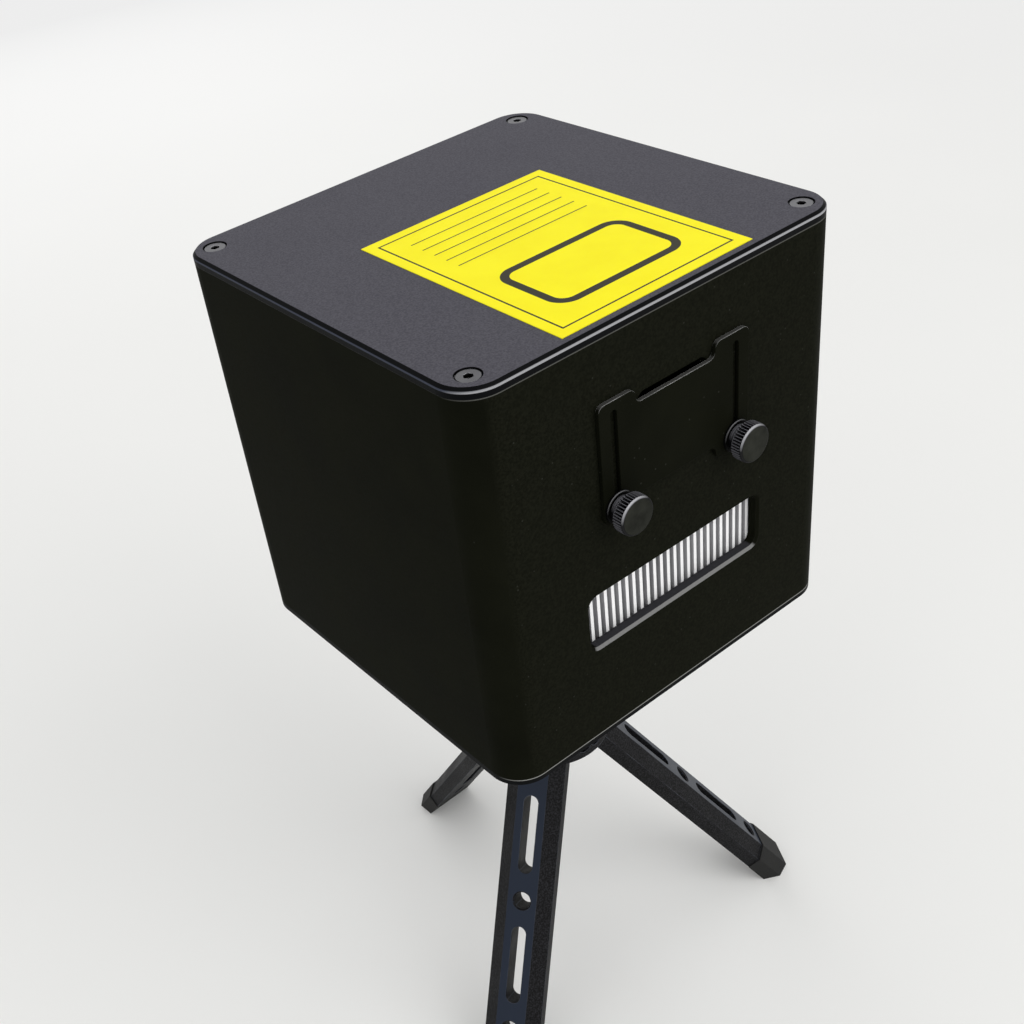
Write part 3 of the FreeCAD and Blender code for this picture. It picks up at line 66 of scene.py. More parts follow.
def addCamera(look):
    azimuth, elevation, roll = (math.radians(look[angle]) for angle in ("azimuth", "elevation", "roll"))
    level = math.cos(elevation)
    back = Vector((math.sin(azimuth) * level, -math.cos(azimuth) * level, math.sin(elevation)))
    side = (-back).cross(Vector((0, 0, 1))).normalized()
    down = (-back).cross(side)
    right = side * math.cos(roll) - down * math.sin(roll)
    up = -(side * math.sin(roll) + down * math.cos(roll))
    lens = bpy.data.cameras.new("camera")
    lens.sensor_width = look["sensor"]
    lens.lens = look["lens"]
    lens.shift_x, lens.shift_y = look["shiftX"], look["shiftY"]
    lens.clip_start, lens.clip_end = look["clip"]
    camera = bpy.data.objects.new("camera", lens)
    scene.collection.objects.link(camera)
    turn = Matrix((right, up, back)).transposed().to_4x4()
    turn.translation = Vector(look["place"])
    camera.matrix_world = turn
    scene.camera = camera


addCamera(cameraLook)
print("camera set")


# Node helpers for the finishes

noiseSpan = (0.3, 0.7)  # where most of a noise's values lie
cloudDetail, grainDetail = 4.0, 3.0


def colour(red, green, blue):
    def level(value):  # screen value to the shader's linear one
        share = value / 255
        return share / 12.92 if share <= 0.04045 else ((share + 0.055) / 1.055) ** 2.4
    return (level(red), level(green), level(blue), 1.0)


def addNode(tree, kind, inputs=None, **settings):
    node = tree.nodes.new("ShaderNode" + kind)
    for key, value in settings.items():
        setattr(node, key, value)
    for key, value in (inputs or {}).items():
        if isinstance(value, bpy.types.NodeSocket):
            tree.links.new(value, node.inputs[key])
        else:
            node.inputs[key].default_value = value
    return node


def maths(tree, operation, first, second=0.0):
    return addNode(tree, "Math", {0: first, 1: second}, operation=operation).outputs[0]


def apart(tree, value, middle):
    # how far a value is from a middle one, either way
    return maths(tree, "ABSOLUTE", maths(tree, "SUBTRACT", value, middle))


def reachOf(tree, across, along):
    # distance from a centre
    squares = [maths(tree, "MULTIPLY", way, way) for way in (across, along)]
    return maths(tree, "SQRT", maths(tree, "ADD", *squares))


def spread(tree, value, low, high, start=0.0, end=1.0):
    return addNode(tree, "MapRange", {"Value": value, "From Min": low, "From Max": high,
                                      "To Min": start, "To Max": end}).outputs["Result"]


def blendColours(tree, share, first, second):
    return addNode(tree, "Mix", {0: share, 6: first, 7: second}, data_type="RGBA").outputs[2]


def noise(tree, place, scale, detail=grainDetail):
    return addNode(tree, "TexNoise", {"Vector": place, "Scale": scale, "Detail": detail}).outputs["Fac"]


def axes(tree, vector):
    return addNode(tree, "SeparateXYZ", {0: vector}).outputs


def scatteredDots(tree, place, scale, size, share):
    # round dots in a few of a pattern's cells
    cells = addNode(tree, "TexVoronoi", {"Vector": place, "Scale": scale})
    dot = spread(tree, cells.outputs["Distance"], *size)
    few = spread(tree, addNode(tree, "SeparateColor", {0: cells.outputs["Color"]}).outputs[0], *share)
    return maths(tree, "MULTIPLY", dot, few)


def lookingAlong(tree, facing, way, span):
    # share of a face that looks one way, seen from the part itself
    match = addNode(tree, "VectorMath", {0: facing, 1: way}, operation="DOT_PRODUCT").outputs["Value"]
    return spread(tree, match, *span)


edgeLook = {"samples": 6, "matchSpan": (0.985, 0.80)}  # flat to sharp


def edgeShare(tree, radius):
    # how near a sharp edge is: a rounded normal against the true one
    rounded = addNode(tree, "Bevel", {"Radius": radius}, samples=edgeLook["samples"]).outputs["Normal"]
    true = addNode(tree, "NewGeometry").outputs["Normal"]
    return rounded, lookingAlong(tree, rounded, true, edgeLook["matchSpan"])


def newFinish(name, look):
    finish = bpy.data.materials.new(name)
    finish.use_nodes = True
    tree = finish.node_tree
    shader = tree.nodes["Principled BSDF"]
    shader.inputs["Metallic"].default_value = look.get("metal", 0.0)
    shader.inputs["Specular IOR Level"].default_value = look.get("specular", 0.5)
    spot = addNode(tree, "TexCoord")
    return finish, tree, shader, spot.outputs["Object"], spot.outputs["Normal"]


def giveRelief(tree, shader, roughness, bump):
    tree.links.new(roughness, shader.inputs["Roughness"])
    tree.links.new(addNode(tree, "Bump", bump).outputs[0], shader.inputs["Normal"])


def giveGrain(tree, shader, place, look):
    # roughness and bump from one fine grain
    grain = noise(tree, place, look["grainScale"])
    giveRelief(tree, shader, spread(tree, grain, *noiseSpan, look["smooth"], look["rough"]),
               {"Height": grain, "Strength": look["bump"], "Distance": look["bumpHeight"]})


# Coats and bare metals of the case and the stand

coatDetail = {
    "cloudScale": 45.0, "grainedSpan": (0.36, 0.64), "lineCore": 0.6, "bumpHeight": 0.2 * mm,
    "fleckSize": (0.16, 0.10), "fleckShare": (0.90, 0.92), "rubScale": 160.0, "rubSpan": (0.40, 0.62),
}


def surfaceFinish(name, look):
    # cloudy colour, fine grain, faces and lines of another tone that paint light, highlights and shade, edges
    # paler from wear, and painted highlight on the edges that look towards the light
    finish, tree, shader, place, facing = newFinish(name, look)
    grainPlace = place
    if "stretch" in look:  # drawn or brushed lines
        grainPlace = addNode(tree, "Mapping", {"Vector": place, "Scale": look["stretch"]}).outputs[0]
    cloud = noise(tree, place, coatDetail["cloudScale"], cloudDetail)
    grain = noise(tree, grainPlace, look["grainScale"])
    tone = blendColours(tree, spread(tree, cloud, *noiseSpan), look["dark"], look["light"])
    # faces that look one way take another tone: painted light, highlights and sheen
    for face in look.get("faces", ()):
        faceTone = face["tone"]
        if "grained" in face:
            speckle = spread(tree, grain, *coatDetail["grainedSpan"])
            faceTone = blendColours(tree, speckle, face["tone"], face["grained"])
        tone = blendColours(tree, lookingAlong(tree, facing, face["way"], face["span"]), tone, faceTone)
    if "fleck" in look:  # a few pale grains in the coat
        dots = scatteredDots(tree, place, look["fleckScale"], coatDetail["fleckSize"],
                             coatDetail["fleckShare"])
        tone = blendColours(tree, dots, tone, look["fleck"])
    for line in look.get("lines", ()):  # each round the case at one height: painted highlights along edges and seams, painted shade in the screw sockets
        off = apart(tree, axes(tree, place)[2], line["height"])
        share = spread(tree, off, line["half"], line["half"] * coatDetail["lineCore"])
        share = maths(tree, "MULTIPLY", share, lookingAlong(tree, facing, line["way"], line["span"]))
        tone = blendColours(tree, share, tone, line["tone"])
    bump = {"Height": grain, "Strength": look["bump"], "Distance": coatDetail["bumpHeight"]}
    if "edge" in look:
        bump["Normal"], near = edgeShare(tree, look["edge"])
        if "highlightWay" in look:  # painted highlight: only the edges that look this way, towards the light, take the pale edge tone
            turned = addNode(tree, "VectorTransform", {0: bump["Normal"]}, vector_type="NORMAL",
                             convert_from="WORLD", convert_to="OBJECT").outputs[0]
            facingLight = lookingAlong(tree, turned, look["highlightWay"], look["highlightSpan"])
            near = maths(tree, "MULTIPLY", near, facingLight)
        # patches of the pale edge tone: wear, and painted highlight where a highlight way is set
        rub = spread(tree, noise(tree, place, look.get("rubScale", coatDetail["rubScale"])),
                     *coatDetail["rubSpan"], *look["rub"])
        tone = blendColours(tree, maths(tree, "MULTIPLY", near, rub), tone, look["worn"])
    tree.links.new(tone, shader.inputs["Base Color"])
    mixed = maths(tree, "ADD", maths(tree, "MULTIPLY", cloud, 0.5), maths(tree, "MULTIPLY", grain, 0.5))
    giveRelief(tree, shader, spread(tree, mixed, *noiseSpan, look["smooth"], look["rough"]), bump)
    return finish


coverTop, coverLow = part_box("top_cover")[1].z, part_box("bottom_cover")[0].z
sleeveLow, sleeveHigh = (corner.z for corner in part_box("case_sleeve"))
toFront, toRear, toSky = (0.0, -1.0, 0.0), (0.0, 1.0, 0.0), (0.0, 0.0, 1.0)
towardsLight = (-0.45, -0.35, 0.82)
anyWay = (-3.0, -2.0)  # a span that every facing is past

coats = {
    "case_black": {
        "dark": colour(16, 17, 11), "light": colour(21, 22, 15), "specular": 0.005,
        "grainScale": 1400.0, "bump": 0.14, "smooth": 0.38, "rough": 0.52,
        # painted highlight: pale tone on the edges that look towards the light
        "worn": colour(84, 84, 82), "edge": 0.4 * mm, "rub": (0.10, 0.55),
        "highlightWay": towardsLight, "highlightSpan": (0.25, 0.8), "fleck": colour(42, 43, 38), "fleckScale": 520.0,
        "faces": [
            # painted light: the front a little lighter, a bright highlight on chamfers that look front and
            # up, a grey sheen on faces that look up
            {"tone": colour(18, 19, 13), "grained": colour(25, 26, 19), "way": toFront, "span": (0.90, 0.97)},
            {"tone": colour(126, 126, 125), "way": (0.0, -0.707, 0.707), "span": (0.90, 0.97)},
            {"tone": colour(52, 52, 55), "way": toSky, "span": (0.90, 0.97)},
        ],
        # painted highlight along the top of the sleeve on the front
        "lines": [{"height": sleeveHigh - 0.16 * mm, "half": 0.2 * mm, "tone": colour(84, 84, 80),
                   "way": toFront, "span": (0.1, 0.9)}],
    },
    "cover_grey_black": {
        "dark": colour(11, 12, 13), "light": colour(15, 16, 17), "specular": 0.025,
        "grainScale": 1800.0, "bump": 0.22, "smooth": 0.36, "rough": 0.50,
        # painted highlight: pale tone on the edges that look towards the light
        "worn": colour(90, 90, 94), "edge": 0.3 * mm, "rub": (0.10, 0.45),
        "highlightWay": towardsLight, "highlightSpan": (0.3, 0.9),
        # painted sheen: the top face a grey tone, as a bright sky makes it look; the coat itself is the dark
        # tone
        "faces": [{"tone": colour(71, 70, 77), "grained": colour(87, 86, 93), "way": toSky,
                   "span": (0.985, 0.995)}],
        "lines": [
            # painted highlights: a bluish line round the top chamfer, a brighter line over it on the front, a
            # pale line at the lower seam on the front
            {"height": coverTop - 1.1 * mm, "half": 0.30 * mm, "tone": colour(62, 66, 78),
             "way": toSky, "span": (-0.2, -0.1)},
            {"height": coverTop - 1.1 * mm, "half": 0.36 * mm, "tone": colour(162, 162, 165),
             "way": toFront, "span": (0.2, 0.75)},
            {"height": sleeveLow - 0.2 * mm, "half": 0.2 * mm, "tone": colour(140, 140, 136),
             "way": toFront, "span": (0.2, 0.8)},
        ],
    },
    "mask_black": {
        "dark": colour(16, 17, 11), "light": colour(21, 22, 15), "specular": 0.005,
        "grainScale": 1400.0, "bump": 0.14, "smooth": 0.38, "rough": 0.52,
        # painted highlight: pale upper edges and up-facing faces of the plate
        "worn": colour(190, 190, 188), "edge": 0.35 * mm, "rub": (0.40, 1.0),
        "highlightWay": toSky, "highlightSpan": (0.2, 0.6), "fleck": colour(42, 43, 38), "fleckScale": 520.0,
        "faces": [{"tone": colour(66, 66, 64), "way": toSky, "span": (0.60, 0.90)}],
    },
    "screw_black": {
        "dark": colour(100, 100, 103), "light": colour(136, 136, 139), "metal": 1.0,
        "grainScale": 1600.0, "bump": 0.08, "smooth": 0.26, "rough": 0.42,
        "worn": colour(214, 214, 218), "edge": 0.2 * mm, "rub": (0.05, 0.8), "rubScale": 420.0,
        "lines": [{"height": height, "half": 0.9 * mm, "tone": colour(7, 7, 8), "way": toSky, "span": anyWay}
                  for height in (coverTop - 1.5 * mm, coverLow + 1.5 * mm)],  # painted shade in the depths of the sockets
    },
    "screw_steel": {
        "dark": colour(120, 120, 122), "light": colour(160, 160, 162), "metal": 1.0,
        "grainScale": 1600.0, "bump": 0.08, "smooth": 0.24, "rough": 0.42,
        "worn": colour(215, 215, 218), "edge": 0.3 * mm, "rub": (0.2, 0.9),
    },
    "brass": {
        "dark": colour(176, 138, 62), "light": colour(208, 170, 92), "metal": 1.0,
        "grainScale": 1200.0, "bump": 0.06, "smooth": 0.22, "rough": 0.36,
        "worn": colour(236, 208, 140), "edge": 0.3 * mm, "rub": (0.2, 0.8),
    },
    "sink_aluminium": {
        "dark": colour(176, 176, 179), "light": colour(206, 206, 208), "metal": 0.15,
        "grainScale": 700.0, "stretch": (1.0, 0.05, 1.0), "bump": 0.10, "smooth": 0.34, "rough": 0.52,
        # painted light: the fronts of the fins near white, the sides in the grey metal tone
        "faces": [{"tone": colour(252, 252, 252), "way": toFront, "span": (0.8, 0.95)}],
    },
    "machined_aluminium": {
        "dark": colour(190, 192, 196), "light": colour(214, 216, 220), "metal": 1.0,
        "grainScale": 900.0, "stretch": (0.1, 1.0, 1.0), "bump": 0.08, "smooth": 0.22, "rough": 0.40,
    },
    "motor_steel": {
        "dark": colour(128, 130, 134), "light": colour(160, 162, 166), "metal": 1.0,
        "grainScale": 1300.0, "bump": 0.06, "smooth": 0.22, "rough": 0.36,
    },
    "mirror_coat": {
        "dark": colour(226, 228, 232), "light": colour(240, 241, 244), "metal": 1.0,
        "grainScale": 600.0, "bump": 0.01, "smooth": 0.03, "rough": 0.07,
    },
    "black_plastic": {
        "dark": colour(24, 24, 25), "light": colour(32, 32, 33), "specular": 0.40,
        "grainScale": 2600.0, "bump": 0.30, "smooth": 0.42, "rough": 0.60,
        "worn": colour(82, 82, 84), "edge": 0.3 * mm, "rub": (0.1, 0.5),
    },
    "socket_nickel": {
        "dark": colour(146, 145, 141), "light": colour(170, 169, 164), "metal": 1.0,
        "grainScale": 1400.0, "bump": 0.02, "smooth": 0.20, "rough": 0.30,
        "worn": colour(232, 230, 226), "edge": 0.3 * mm, "rub": (0.2, 0.8),
    },
    "wire_steel": {
        "dark": colour(182, 182, 184), "light": colour(212, 212, 214), "metal": 1.0,
        "grainScale": 1500.0, "bump": 0.05, "smooth": 0.16, "rough": 0.30,
    },
    "rubber_black": {
        "dark": colour(19, 19, 19), "light": colour(31, 31, 30), "specular": 0.30,
        "grainScale": 1700.0, "bump": 0.35, "smooth": 0.66, "rough": 0.86,
        "worn": colour(64, 63, 60), "edge": 0.5 * mm, "rub": (0.2, 0.8),
    },
    "ball_steel": {
        "dark": colour(150, 152, 156), "light": colour(178, 180, 184), "metal": 1.0,
        "grainScale": 1500.0, "bump": 0.03, "smooth": 0.12, "rough": 0.24,
    },
}
finishes = {name: surfaceFinish(name, look) for name, look in coats.items()}


# Knobs: matt face, painted highlight on the rounded rim, painted shade in the gaps between the knurls

knobLook = {
    "face": colour(28, 29, 25), "faceLight": colour(45, 46, 41), "faceSlope": (-0.955, -0.985),
    # painted light and shade: lit and shaded tones by the way a face looks, painted shade in the knurl gaps,
    # a painted highlight on the rim and the flange bevel
    "shade": colour(13, 13, 15), "lit": colour(116, 116, 121),
    "gap": colour(4, 4, 6), "gapSpan": (0.47, 0.52),
    "litWay": (-0.34, -0.30, 0.89), "litSpan": (0.45, 1.0), "rimSlope": -0.70, "rimReach": (0.30, 0.16),
    "rimShade": colour(34, 34, 35), "rimLit": colour(196, 196, 200),
    "headLength": 4.0 * mm, "collarEnd": 6.45 * mm,  # from the face
    "turnedLines": 9000.0, "turnedSpan": (-0.2, 0.8), "turnedShare": 0.55,
    "flange": colour(9, 9, 9), "flangeLit": colour(120, 120, 122),
    "bevelFrom": (-0.2, -0.4), "bevelTo": (-0.95, -0.85), "cloudScale": 220.0, "specular": 0.02,
    "grainScale": 1500.0, "smooth": 0.34, "rough": 0.50, "bump": 0.10, "bumpHeight": 0.2 * mm,
}


def knobFinish(name, look):
    finish, tree, shader, place, facing = newFinish(name, look)
    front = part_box("thumbscrew_left")[0].y
    depth, slope = axes(tree, place)[1], axes(tree, facing)[1]
    # painted light: how far a face looks towards the light
    lit = lookingAlong(tree, facing, look["litWay"], look["litSpan"])
    offHead = maths(tree, "GREATER_THAN", depth, front + look["headLength"])
    onHead = maths(tree, "SUBTRACT", 1.0, offHead)
    # knurls with painted shade in their gaps and painted light on their upper side, and tool marks on the
    # collar
    bend = addNode(tree, "NewGeometry").outputs["Pointiness"]
    crest = maths(tree, "MAXIMUM", spread(tree, bend, *look["gapSpan"]), offHead)
    tone = blendColours(tree, crest, look["gap"], blendColours(tree, lit, look["shade"], look["lit"]))
    turned = maths(tree, "SINE", maths(tree, "MULTIPLY", depth, look["turnedLines"]))
    dim = spread(tree, turned, *look["turnedSpan"], 0.0, look["turnedShare"])
    tone = blendColours(tree, maths(tree, "MULTIPLY", dim, offHead), tone, look["shade"])
    # flange with a painted highlight on its bevel
    onBevel = maths(tree, "MULTIPLY", spread(tree, slope, *look["bevelFrom"]),
                    spread(tree, slope, *look["bevelTo"]))
    flange = blendColours(tree, maths(tree, "MULTIPLY", lit, onBevel), look["flange"], look["flangeLit"])
    tone = blendColours(tree, maths(tree, "GREATER_THAN", depth, front + look["collarEnd"]), tone, flange)
    # rim with a painted highlight on its upper side, and face of the head
    rim = blendColours(tree, lit, look["rimShade"], look["rimLit"])
    onRim = spread(tree, apart(tree, slope, look["rimSlope"]), *look["rimReach"])
    tone = blendColours(tree, maths(tree, "MULTIPLY", onRim, onHead), tone, rim)
    cloud = noise(tree, place, look["cloudScale"], cloudDetail)
    face = blendColours(tree, spread(tree, cloud, *noiseSpan), look["face"], look["faceLight"])
    onFace = maths(tree, "MULTIPLY", spread(tree, slope, *look["faceSlope"]), onHead)
    tree.links.new(blendColours(tree, onFace, tone, face), shader.inputs["Base Color"])
    giveGrain(tree, shader, place, look)
    return finish


finishes["knob_black"] = knobFinish("knob_black", knobLook)


# Tripod: cast and coated, with the legs' outer flat rubbed smoother than their bevels

tripodLook = {
    "flat": colour(34, 41, 54), "bevelDark": colour(6, 6, 7), "bevelLight": colour(38, 38, 41),
    "flatNormalZ": 0.5577, "flatBand": 0.03, "castSpan": (0.42, 0.70), "specular": 0.12,
    "grainScale": 1700.0, "flatGrainScale": 2600.0, "grainDetail": 2.0, "cloudScale": 60.0,
    "worn": colour(100, 104, 114), "edge": 0.5 * mm,
    "rubScale": 130.0, "rubSpan": (0.40, 0.62), "rub": (0.20, 0.85), "castRough": (0.46, 0.60),
    "flatRough": (0.30, 0.40), "flatRelief": 0.15, "bump": 0.5, "bumpHeight": 0.3 * mm,
}


def tripodFinish(name, look):
    finish, tree, shader, place, facing = newFinish(name, look)
    offFlat = apart(tree, axes(tree, facing)[2], look["flatNormalZ"])
    onFlat = maths(tree, "LESS_THAN", offFlat, look["flatBand"])
    grain = noise(tree, place, look["grainScale"], look["grainDetail"])
    fine = noise(tree, place, look["flatGrainScale"], look["grainDetail"])
    cloud = noise(tree, place, look["cloudScale"], cloudDetail)
    cast = blendColours(tree, spread(tree, grain, *look["castSpan"]), look["bevelDark"], look["bevelLight"])
    tone = blendColours(tree, onFlat, cast, look["flat"])
    normal, near = edgeShare(tree, look["edge"])
    rub = spread(tree, noise(tree, place, look["rubScale"]), *look["rubSpan"], *look["rub"])
    tone = blendColours(tree, maths(tree, "MULTIPLY", near, rub), tone, look["worn"])
    tree.links.new(tone, shader.inputs["Base Color"])
    castRough = spread(tree, cloud, *noiseSpan, *look["castRough"])
    flatRough = spread(tree, cloud, *noiseSpan, *look["flatRough"])
    smooth = maths(tree, "MULTIPLY", onFlat, maths(tree, "SUBTRACT", castRough, flatRough))
    castHeight = maths(tree, "MULTIPLY", grain, maths(tree, "SUBTRACT", 1.0, onFlat))
    flatHeight = maths(tree, "MULTIPLY", fine, maths(tree, "MULTIPLY", onFlat, look["flatRelief"]))
    giveRelief(tree, shader, maths(tree, "SUBTRACT", castRough, smooth),
               {"Height": maths(tree, "ADD", castHeight, flatHeight), "Strength": look["bump"],
                "Distance": look["bumpHeight"], "Normal": normal})
    return finish


finishes["tripod_black"] = tripodFinish("tripod_black", tripodLook)


# Label: plain yellow sheet with a keyline, ruled lines and an empty frame

labelLook = {
    "paper": colour(253, 242, 30), "paperDark": colour(250, 237, 26), "ink": colour(58, 56, 46),
    "cloudScale": 90.0, "cloudSpan": (0.35, 0.65), "keylineIn": 3.7 * mm, "keylineWidth": 0.6 * mm,
    "ruleCount": 5, "rulePitch": 5.4 * mm, "ruleWidth": 0.45 * mm,
    "ruleHalf": 24.0 * mm, "ruleFirst": 32.0 * mm, "frameHalf": (22.0 * mm, 13.0 * mm),
    "frameRound": 5.0 * mm, "frameWidth": 2.6 * mm, "frameDown": 16.5 * mm, "specular": 0.06,
    "grainScale": 1500.0, "smooth": 0.34, "rough": 0.48, "bump": 0.06, "bumpHeight": 0.1 * mm,
}


def labelFinish(name, look):
    finish, tree, shader, place, _ = newFinish(name, look)
    low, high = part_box("top_label")
    centre, half = (low + high) / 2, (high - low) / 2
    x, y, _ = axes(tree, place)
    across, along = apart(tree, x, centre.x), maths(tree, "SUBTRACT", y, centre.y)
    edgeIn = maths(tree, "MAXIMUM", maths(tree, "SUBTRACT", across, half.x - look["keylineIn"]),
                   maths(tree, "SUBTRACT", maths(tree, "ABSOLUTE", along), half.y - look["keylineIn"]))
    ink = maths(tree, "LESS_THAN", maths(tree, "ABSOLUTE", edgeIn), look["keylineWidth"] / 2)
    # ruled lines over the rear half
    inRule = maths(tree, "LESS_THAN", across, look["ruleHalf"])
    for i in range(look["ruleCount"]):
        off = apart(tree, along, look["ruleFirst"] - i * look["rulePitch"])
        line = maths(tree, "LESS_THAN", off, look["ruleWidth"] / 2)
        ink = maths(tree, "MAXIMUM", ink, maths(tree, "MULTIPLY", line, inRule))
    # empty frame with round corners over the front half
    frameAlong = maths(tree, "ABSOLUTE", maths(tree, "ADD", along, look["frameDown"]))
    cornerX, cornerY = (maths(tree, "MAXIMUM", maths(tree, "SUBTRACT", way, frameHalf - look["frameRound"]))
                        for way, frameHalf in zip((across, frameAlong), look["frameHalf"]))
    offFrame = apart(tree, reachOf(tree, cornerX, cornerY), look["frameRound"])
    nearEdge = maths(tree, "GREATER_THAN", maths(tree, "MAXIMUM", cornerX, cornerY), 0.0)
    bar = maths(tree, "MULTIPLY", maths(tree, "LESS_THAN", offFrame, look["frameWidth"] / 2), nearEdge)
    ink = maths(tree, "MAXIMUM", ink, bar)
    cloud = noise(tree, place, look["cloudScale"], cloudDetail)
    paper = blendColours(tree, spread(tree, cloud, *look["cloudSpan"]), look["paper"], look["paperDark"])
    tree.links.new(blendColours(tree, ink, paper, look["ink"]), shader.inputs["Base Color"])
    giveGrain(tree, shader, place, look)
    return finish


finishes["label_yellow"] = labelFinish("label_yellow", labelLook)


# Glass of the aperture and the beam combiners, with faint smears

glassLook = {
    "tint": colour(226, 238, 236), "ior": 1.5, "clean": 0.01, "smeared": 0.04,
    "smearScale": 70.0, "smearDetail": 5.0, "smearSpan": (0.45, 0.75), "bump": 0.004, "bumpHeight": 0.1 * mm,
}


def glassFinish(name, look):
    finish, tree, shader, place, _ = newFinish(name, look)
    shader.inputs["Transmission Weight"].default_value = 1.0
    shader.inputs["IOR"].default_value = look["ior"]
    shader.inputs["Base Color"].default_value = look["tint"]
    smear = noise(tree, place, look["smearScale"], look["smearDetail"])
    giveRelief(tree, shader, spread(tree, smear, *look["smearSpan"], look["clean"], look["smeared"]),
               {"Height": smear, "Strength": look["bump"], "Distance": look["bumpHeight"]})
    return finish


finishes["clear_glass"] = glassFinish("clear_glass", glassLook)


# Circuit boards: green mask over copper runs, with scattered solder pads

boardLook = {
    "mask": colour(18, 74, 44), "run": colour(34, 108, 66), "pad": colour(196, 172, 104),
    "runScale": 260.0, "runWidth": 0.04, "padScale": 300.0, "padSize": (0.22, 0.18), "padShare": (0.70, 0.72),
    "roughScale": 400.0, "smooth": 0.26, "rough": 0.40, "bump": 0.3, "bumpHeight": 0.1 * mm,
}


def boardFinish(name, look):
    finish, tree, shader, place, _ = newFinish(name, look)
    runs = addNode(tree, "TexBrick", {
        "Vector": place, "Scale": look["runScale"], "Mortar Size": look["runWidth"],
        "Color1": look["mask"], "Color2": look["mask"], "Mortar": look["run"],
    })
    pads = scatteredDots(tree, place, look["padScale"], look["padSize"], look["padShare"])
    tree.links.new(blendColours(tree, pads, runs.outputs["Color"], look["pad"]), shader.inputs["Base Color"])
    uneven = noise(tree, place, look["roughScale"])
    giveRelief(tree, shader, spread(tree, uneven, *noiseSpan, look["smooth"], look["rough"]),
               {"Height": pads, "Strength": look["bump"], "Distance": look["bumpHeight"]})
    return finish


finishes["board_green"] = boardFinish("board_green", boardLook)


# Rocker of the power switch: black plastic with the two plain marks, a bar and a ring

rockerLook = {
    "plastic": colour(24, 24, 25), "plasticLight": colour(32, 32, 33), "mark": colour(214, 214, 210),
    "markUp": 4.2 * mm, "barHalf": (0.32 * mm, 1.5 * mm), "ringRadius": 1.35 * mm, "ringHalf": 0.28 * mm,
    "faceSpan": (0.5, 0.6), "cloudScale": 90.0, "specular": 0.4,
    "grainScale": 2600.0, "smooth": 0.36, "rough": 0.52, "bump": 0.2, "bumpHeight": 0.2 * mm,
}


def rockerFinish(name, look):
    finish, tree, shader, place, facing = newFinish(name, look)
    low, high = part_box("switch_rocker")
    centre = (low + high) / 2
    x, _, z = axes(tree, place)
    across = maths(tree, "SUBTRACT", x, centre.x)
    barWide, barTall = look["barHalf"]
    inWidth = maths(tree, "LESS_THAN", maths(tree, "ABSOLUTE", across), barWide)
    inHeight = maths(tree, "LESS_THAN", apart(tree, z, centre.z + look["markUp"]), barTall)
    bar = maths(tree, "MULTIPLY", inWidth, inHeight)
    ringUp = maths(tree, "SUBTRACT", z, centre.z - look["markUp"])
    offRing = apart(tree, reachOf(tree, across, ringUp), look["ringRadius"])
    mark = maths(tree, "MAXIMUM", bar, maths(tree, "LESS_THAN", offRing, look["ringHalf"]))
    mark = maths(tree, "MULTIPLY", mark, lookingAlong(tree, facing, toRear, look["faceSpan"]))
    cloud = noise(tree, place, look["cloudScale"], cloudDetail)
    plastic = blendColours(tree, cloud, look["plastic"], look["plasticLight"])
    tree.links.new(blendColours(tree, mark, plastic, look["mark"]), shader.inputs["Base Color"])
    giveGrain(tree, shader, place, look)
    return finish


rockerMarked = rockerFinish("rocker_marked", rockerLook)
print("finishes made:", len(finishes))

for part in frame["record"]["subparts"]:
    for holder in frame["nodes"][part["node"]].material_slots:
        holder.material = rockerMarked if part["node"] == "switch_rocker" else finishes[part["material_slot"]]
print("finishes on the CAD nodes")


# Modelling helpers

def startFresh():
    if bpy.context.object is not None and bpy.context.object.mode != "OBJECT":
        bpy.ops.object.mode_set(mode="OBJECT")
    bpy.ops.object.select_all(action="DESELECT")


def pickAlone(piece):
    startFresh()
    bpy.context.view_layer.objects.active = piece
    piece.select_set(True)


def pickPoints(piece, wanted):
    bpy.ops.object.mode_set(mode="EDIT")
    bpy.ops.mesh.select_mode(type="VERT")
    bpy.ops.mesh.select_all(action="DESELECT")
    bpy.ops.object.mode_set(mode="OBJECT")
    for point in piece.data.vertices:
        point.select = wanted(point.co)
    bpy.ops.object.mode_set(mode="EDIT")


def faceOutwards():
    bpy.ops.mesh.select_all(action="SELECT")
    bpy.ops.mesh.normals_make_consistent(inside=False)


def fixPlace():
    bpy.ops.object.transform_apply(location=True, rotation=True, scale=True)


def copyMoved(piece, name, shift):
    pickAlone(piece)
    bpy.ops.object.duplicate(linked=False)
    copy = bpy.context.object
    copy.name = copy.data.name = name
    bpy.ops.transform.translate(value=shift)
    fixPlace()
    return copy


def turnedAlongY(name, axis, sides, rings):
    # a turned piece: a disc drawn out ring by ring along Y; each ring is (y, radius)
    startFresh()
    firstY, firstRadius = rings[0]
    bpy.ops.mesh.primitive_circle_add(vertices=sides, radius=firstRadius, fill_type="NGON",
                                      location=(axis[0], firstY, axis[1]), rotation=(math.pi / 2, 0, 0))
    piece = bpy.context.object
    piece.name = piece.data.name = name
    fixPlace()
    bpy.ops.object.mode_set(mode="EDIT")
    bpy.ops.mesh.select_all(action="SELECT")
    for (lastY, lastRadius), (y, radius) in zip(rings, rings[1:]):
        bpy.ops.mesh.extrude_region_move(TRANSFORM_OT_translate={"value": (0, y - lastY, 0)})
        share = radius / lastRadius
        bpy.ops.transform.resize(value=(share, 1, share), center_override=(axis[0], y, axis[1]))
    faceOutwards()
    bpy.ops.object.mode_set(mode="OBJECT")
    return piece


def putOn(piece, body, slot, nodes=()):
    piece.data.materials.clear()
    piece.data.materials.append(finishes[slot])
    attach(piece, body)
    if nodes:
        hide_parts(*nodes)


# Thumbscrews of the mask plate: knurled head with a rounded rim, collar, flange and shank

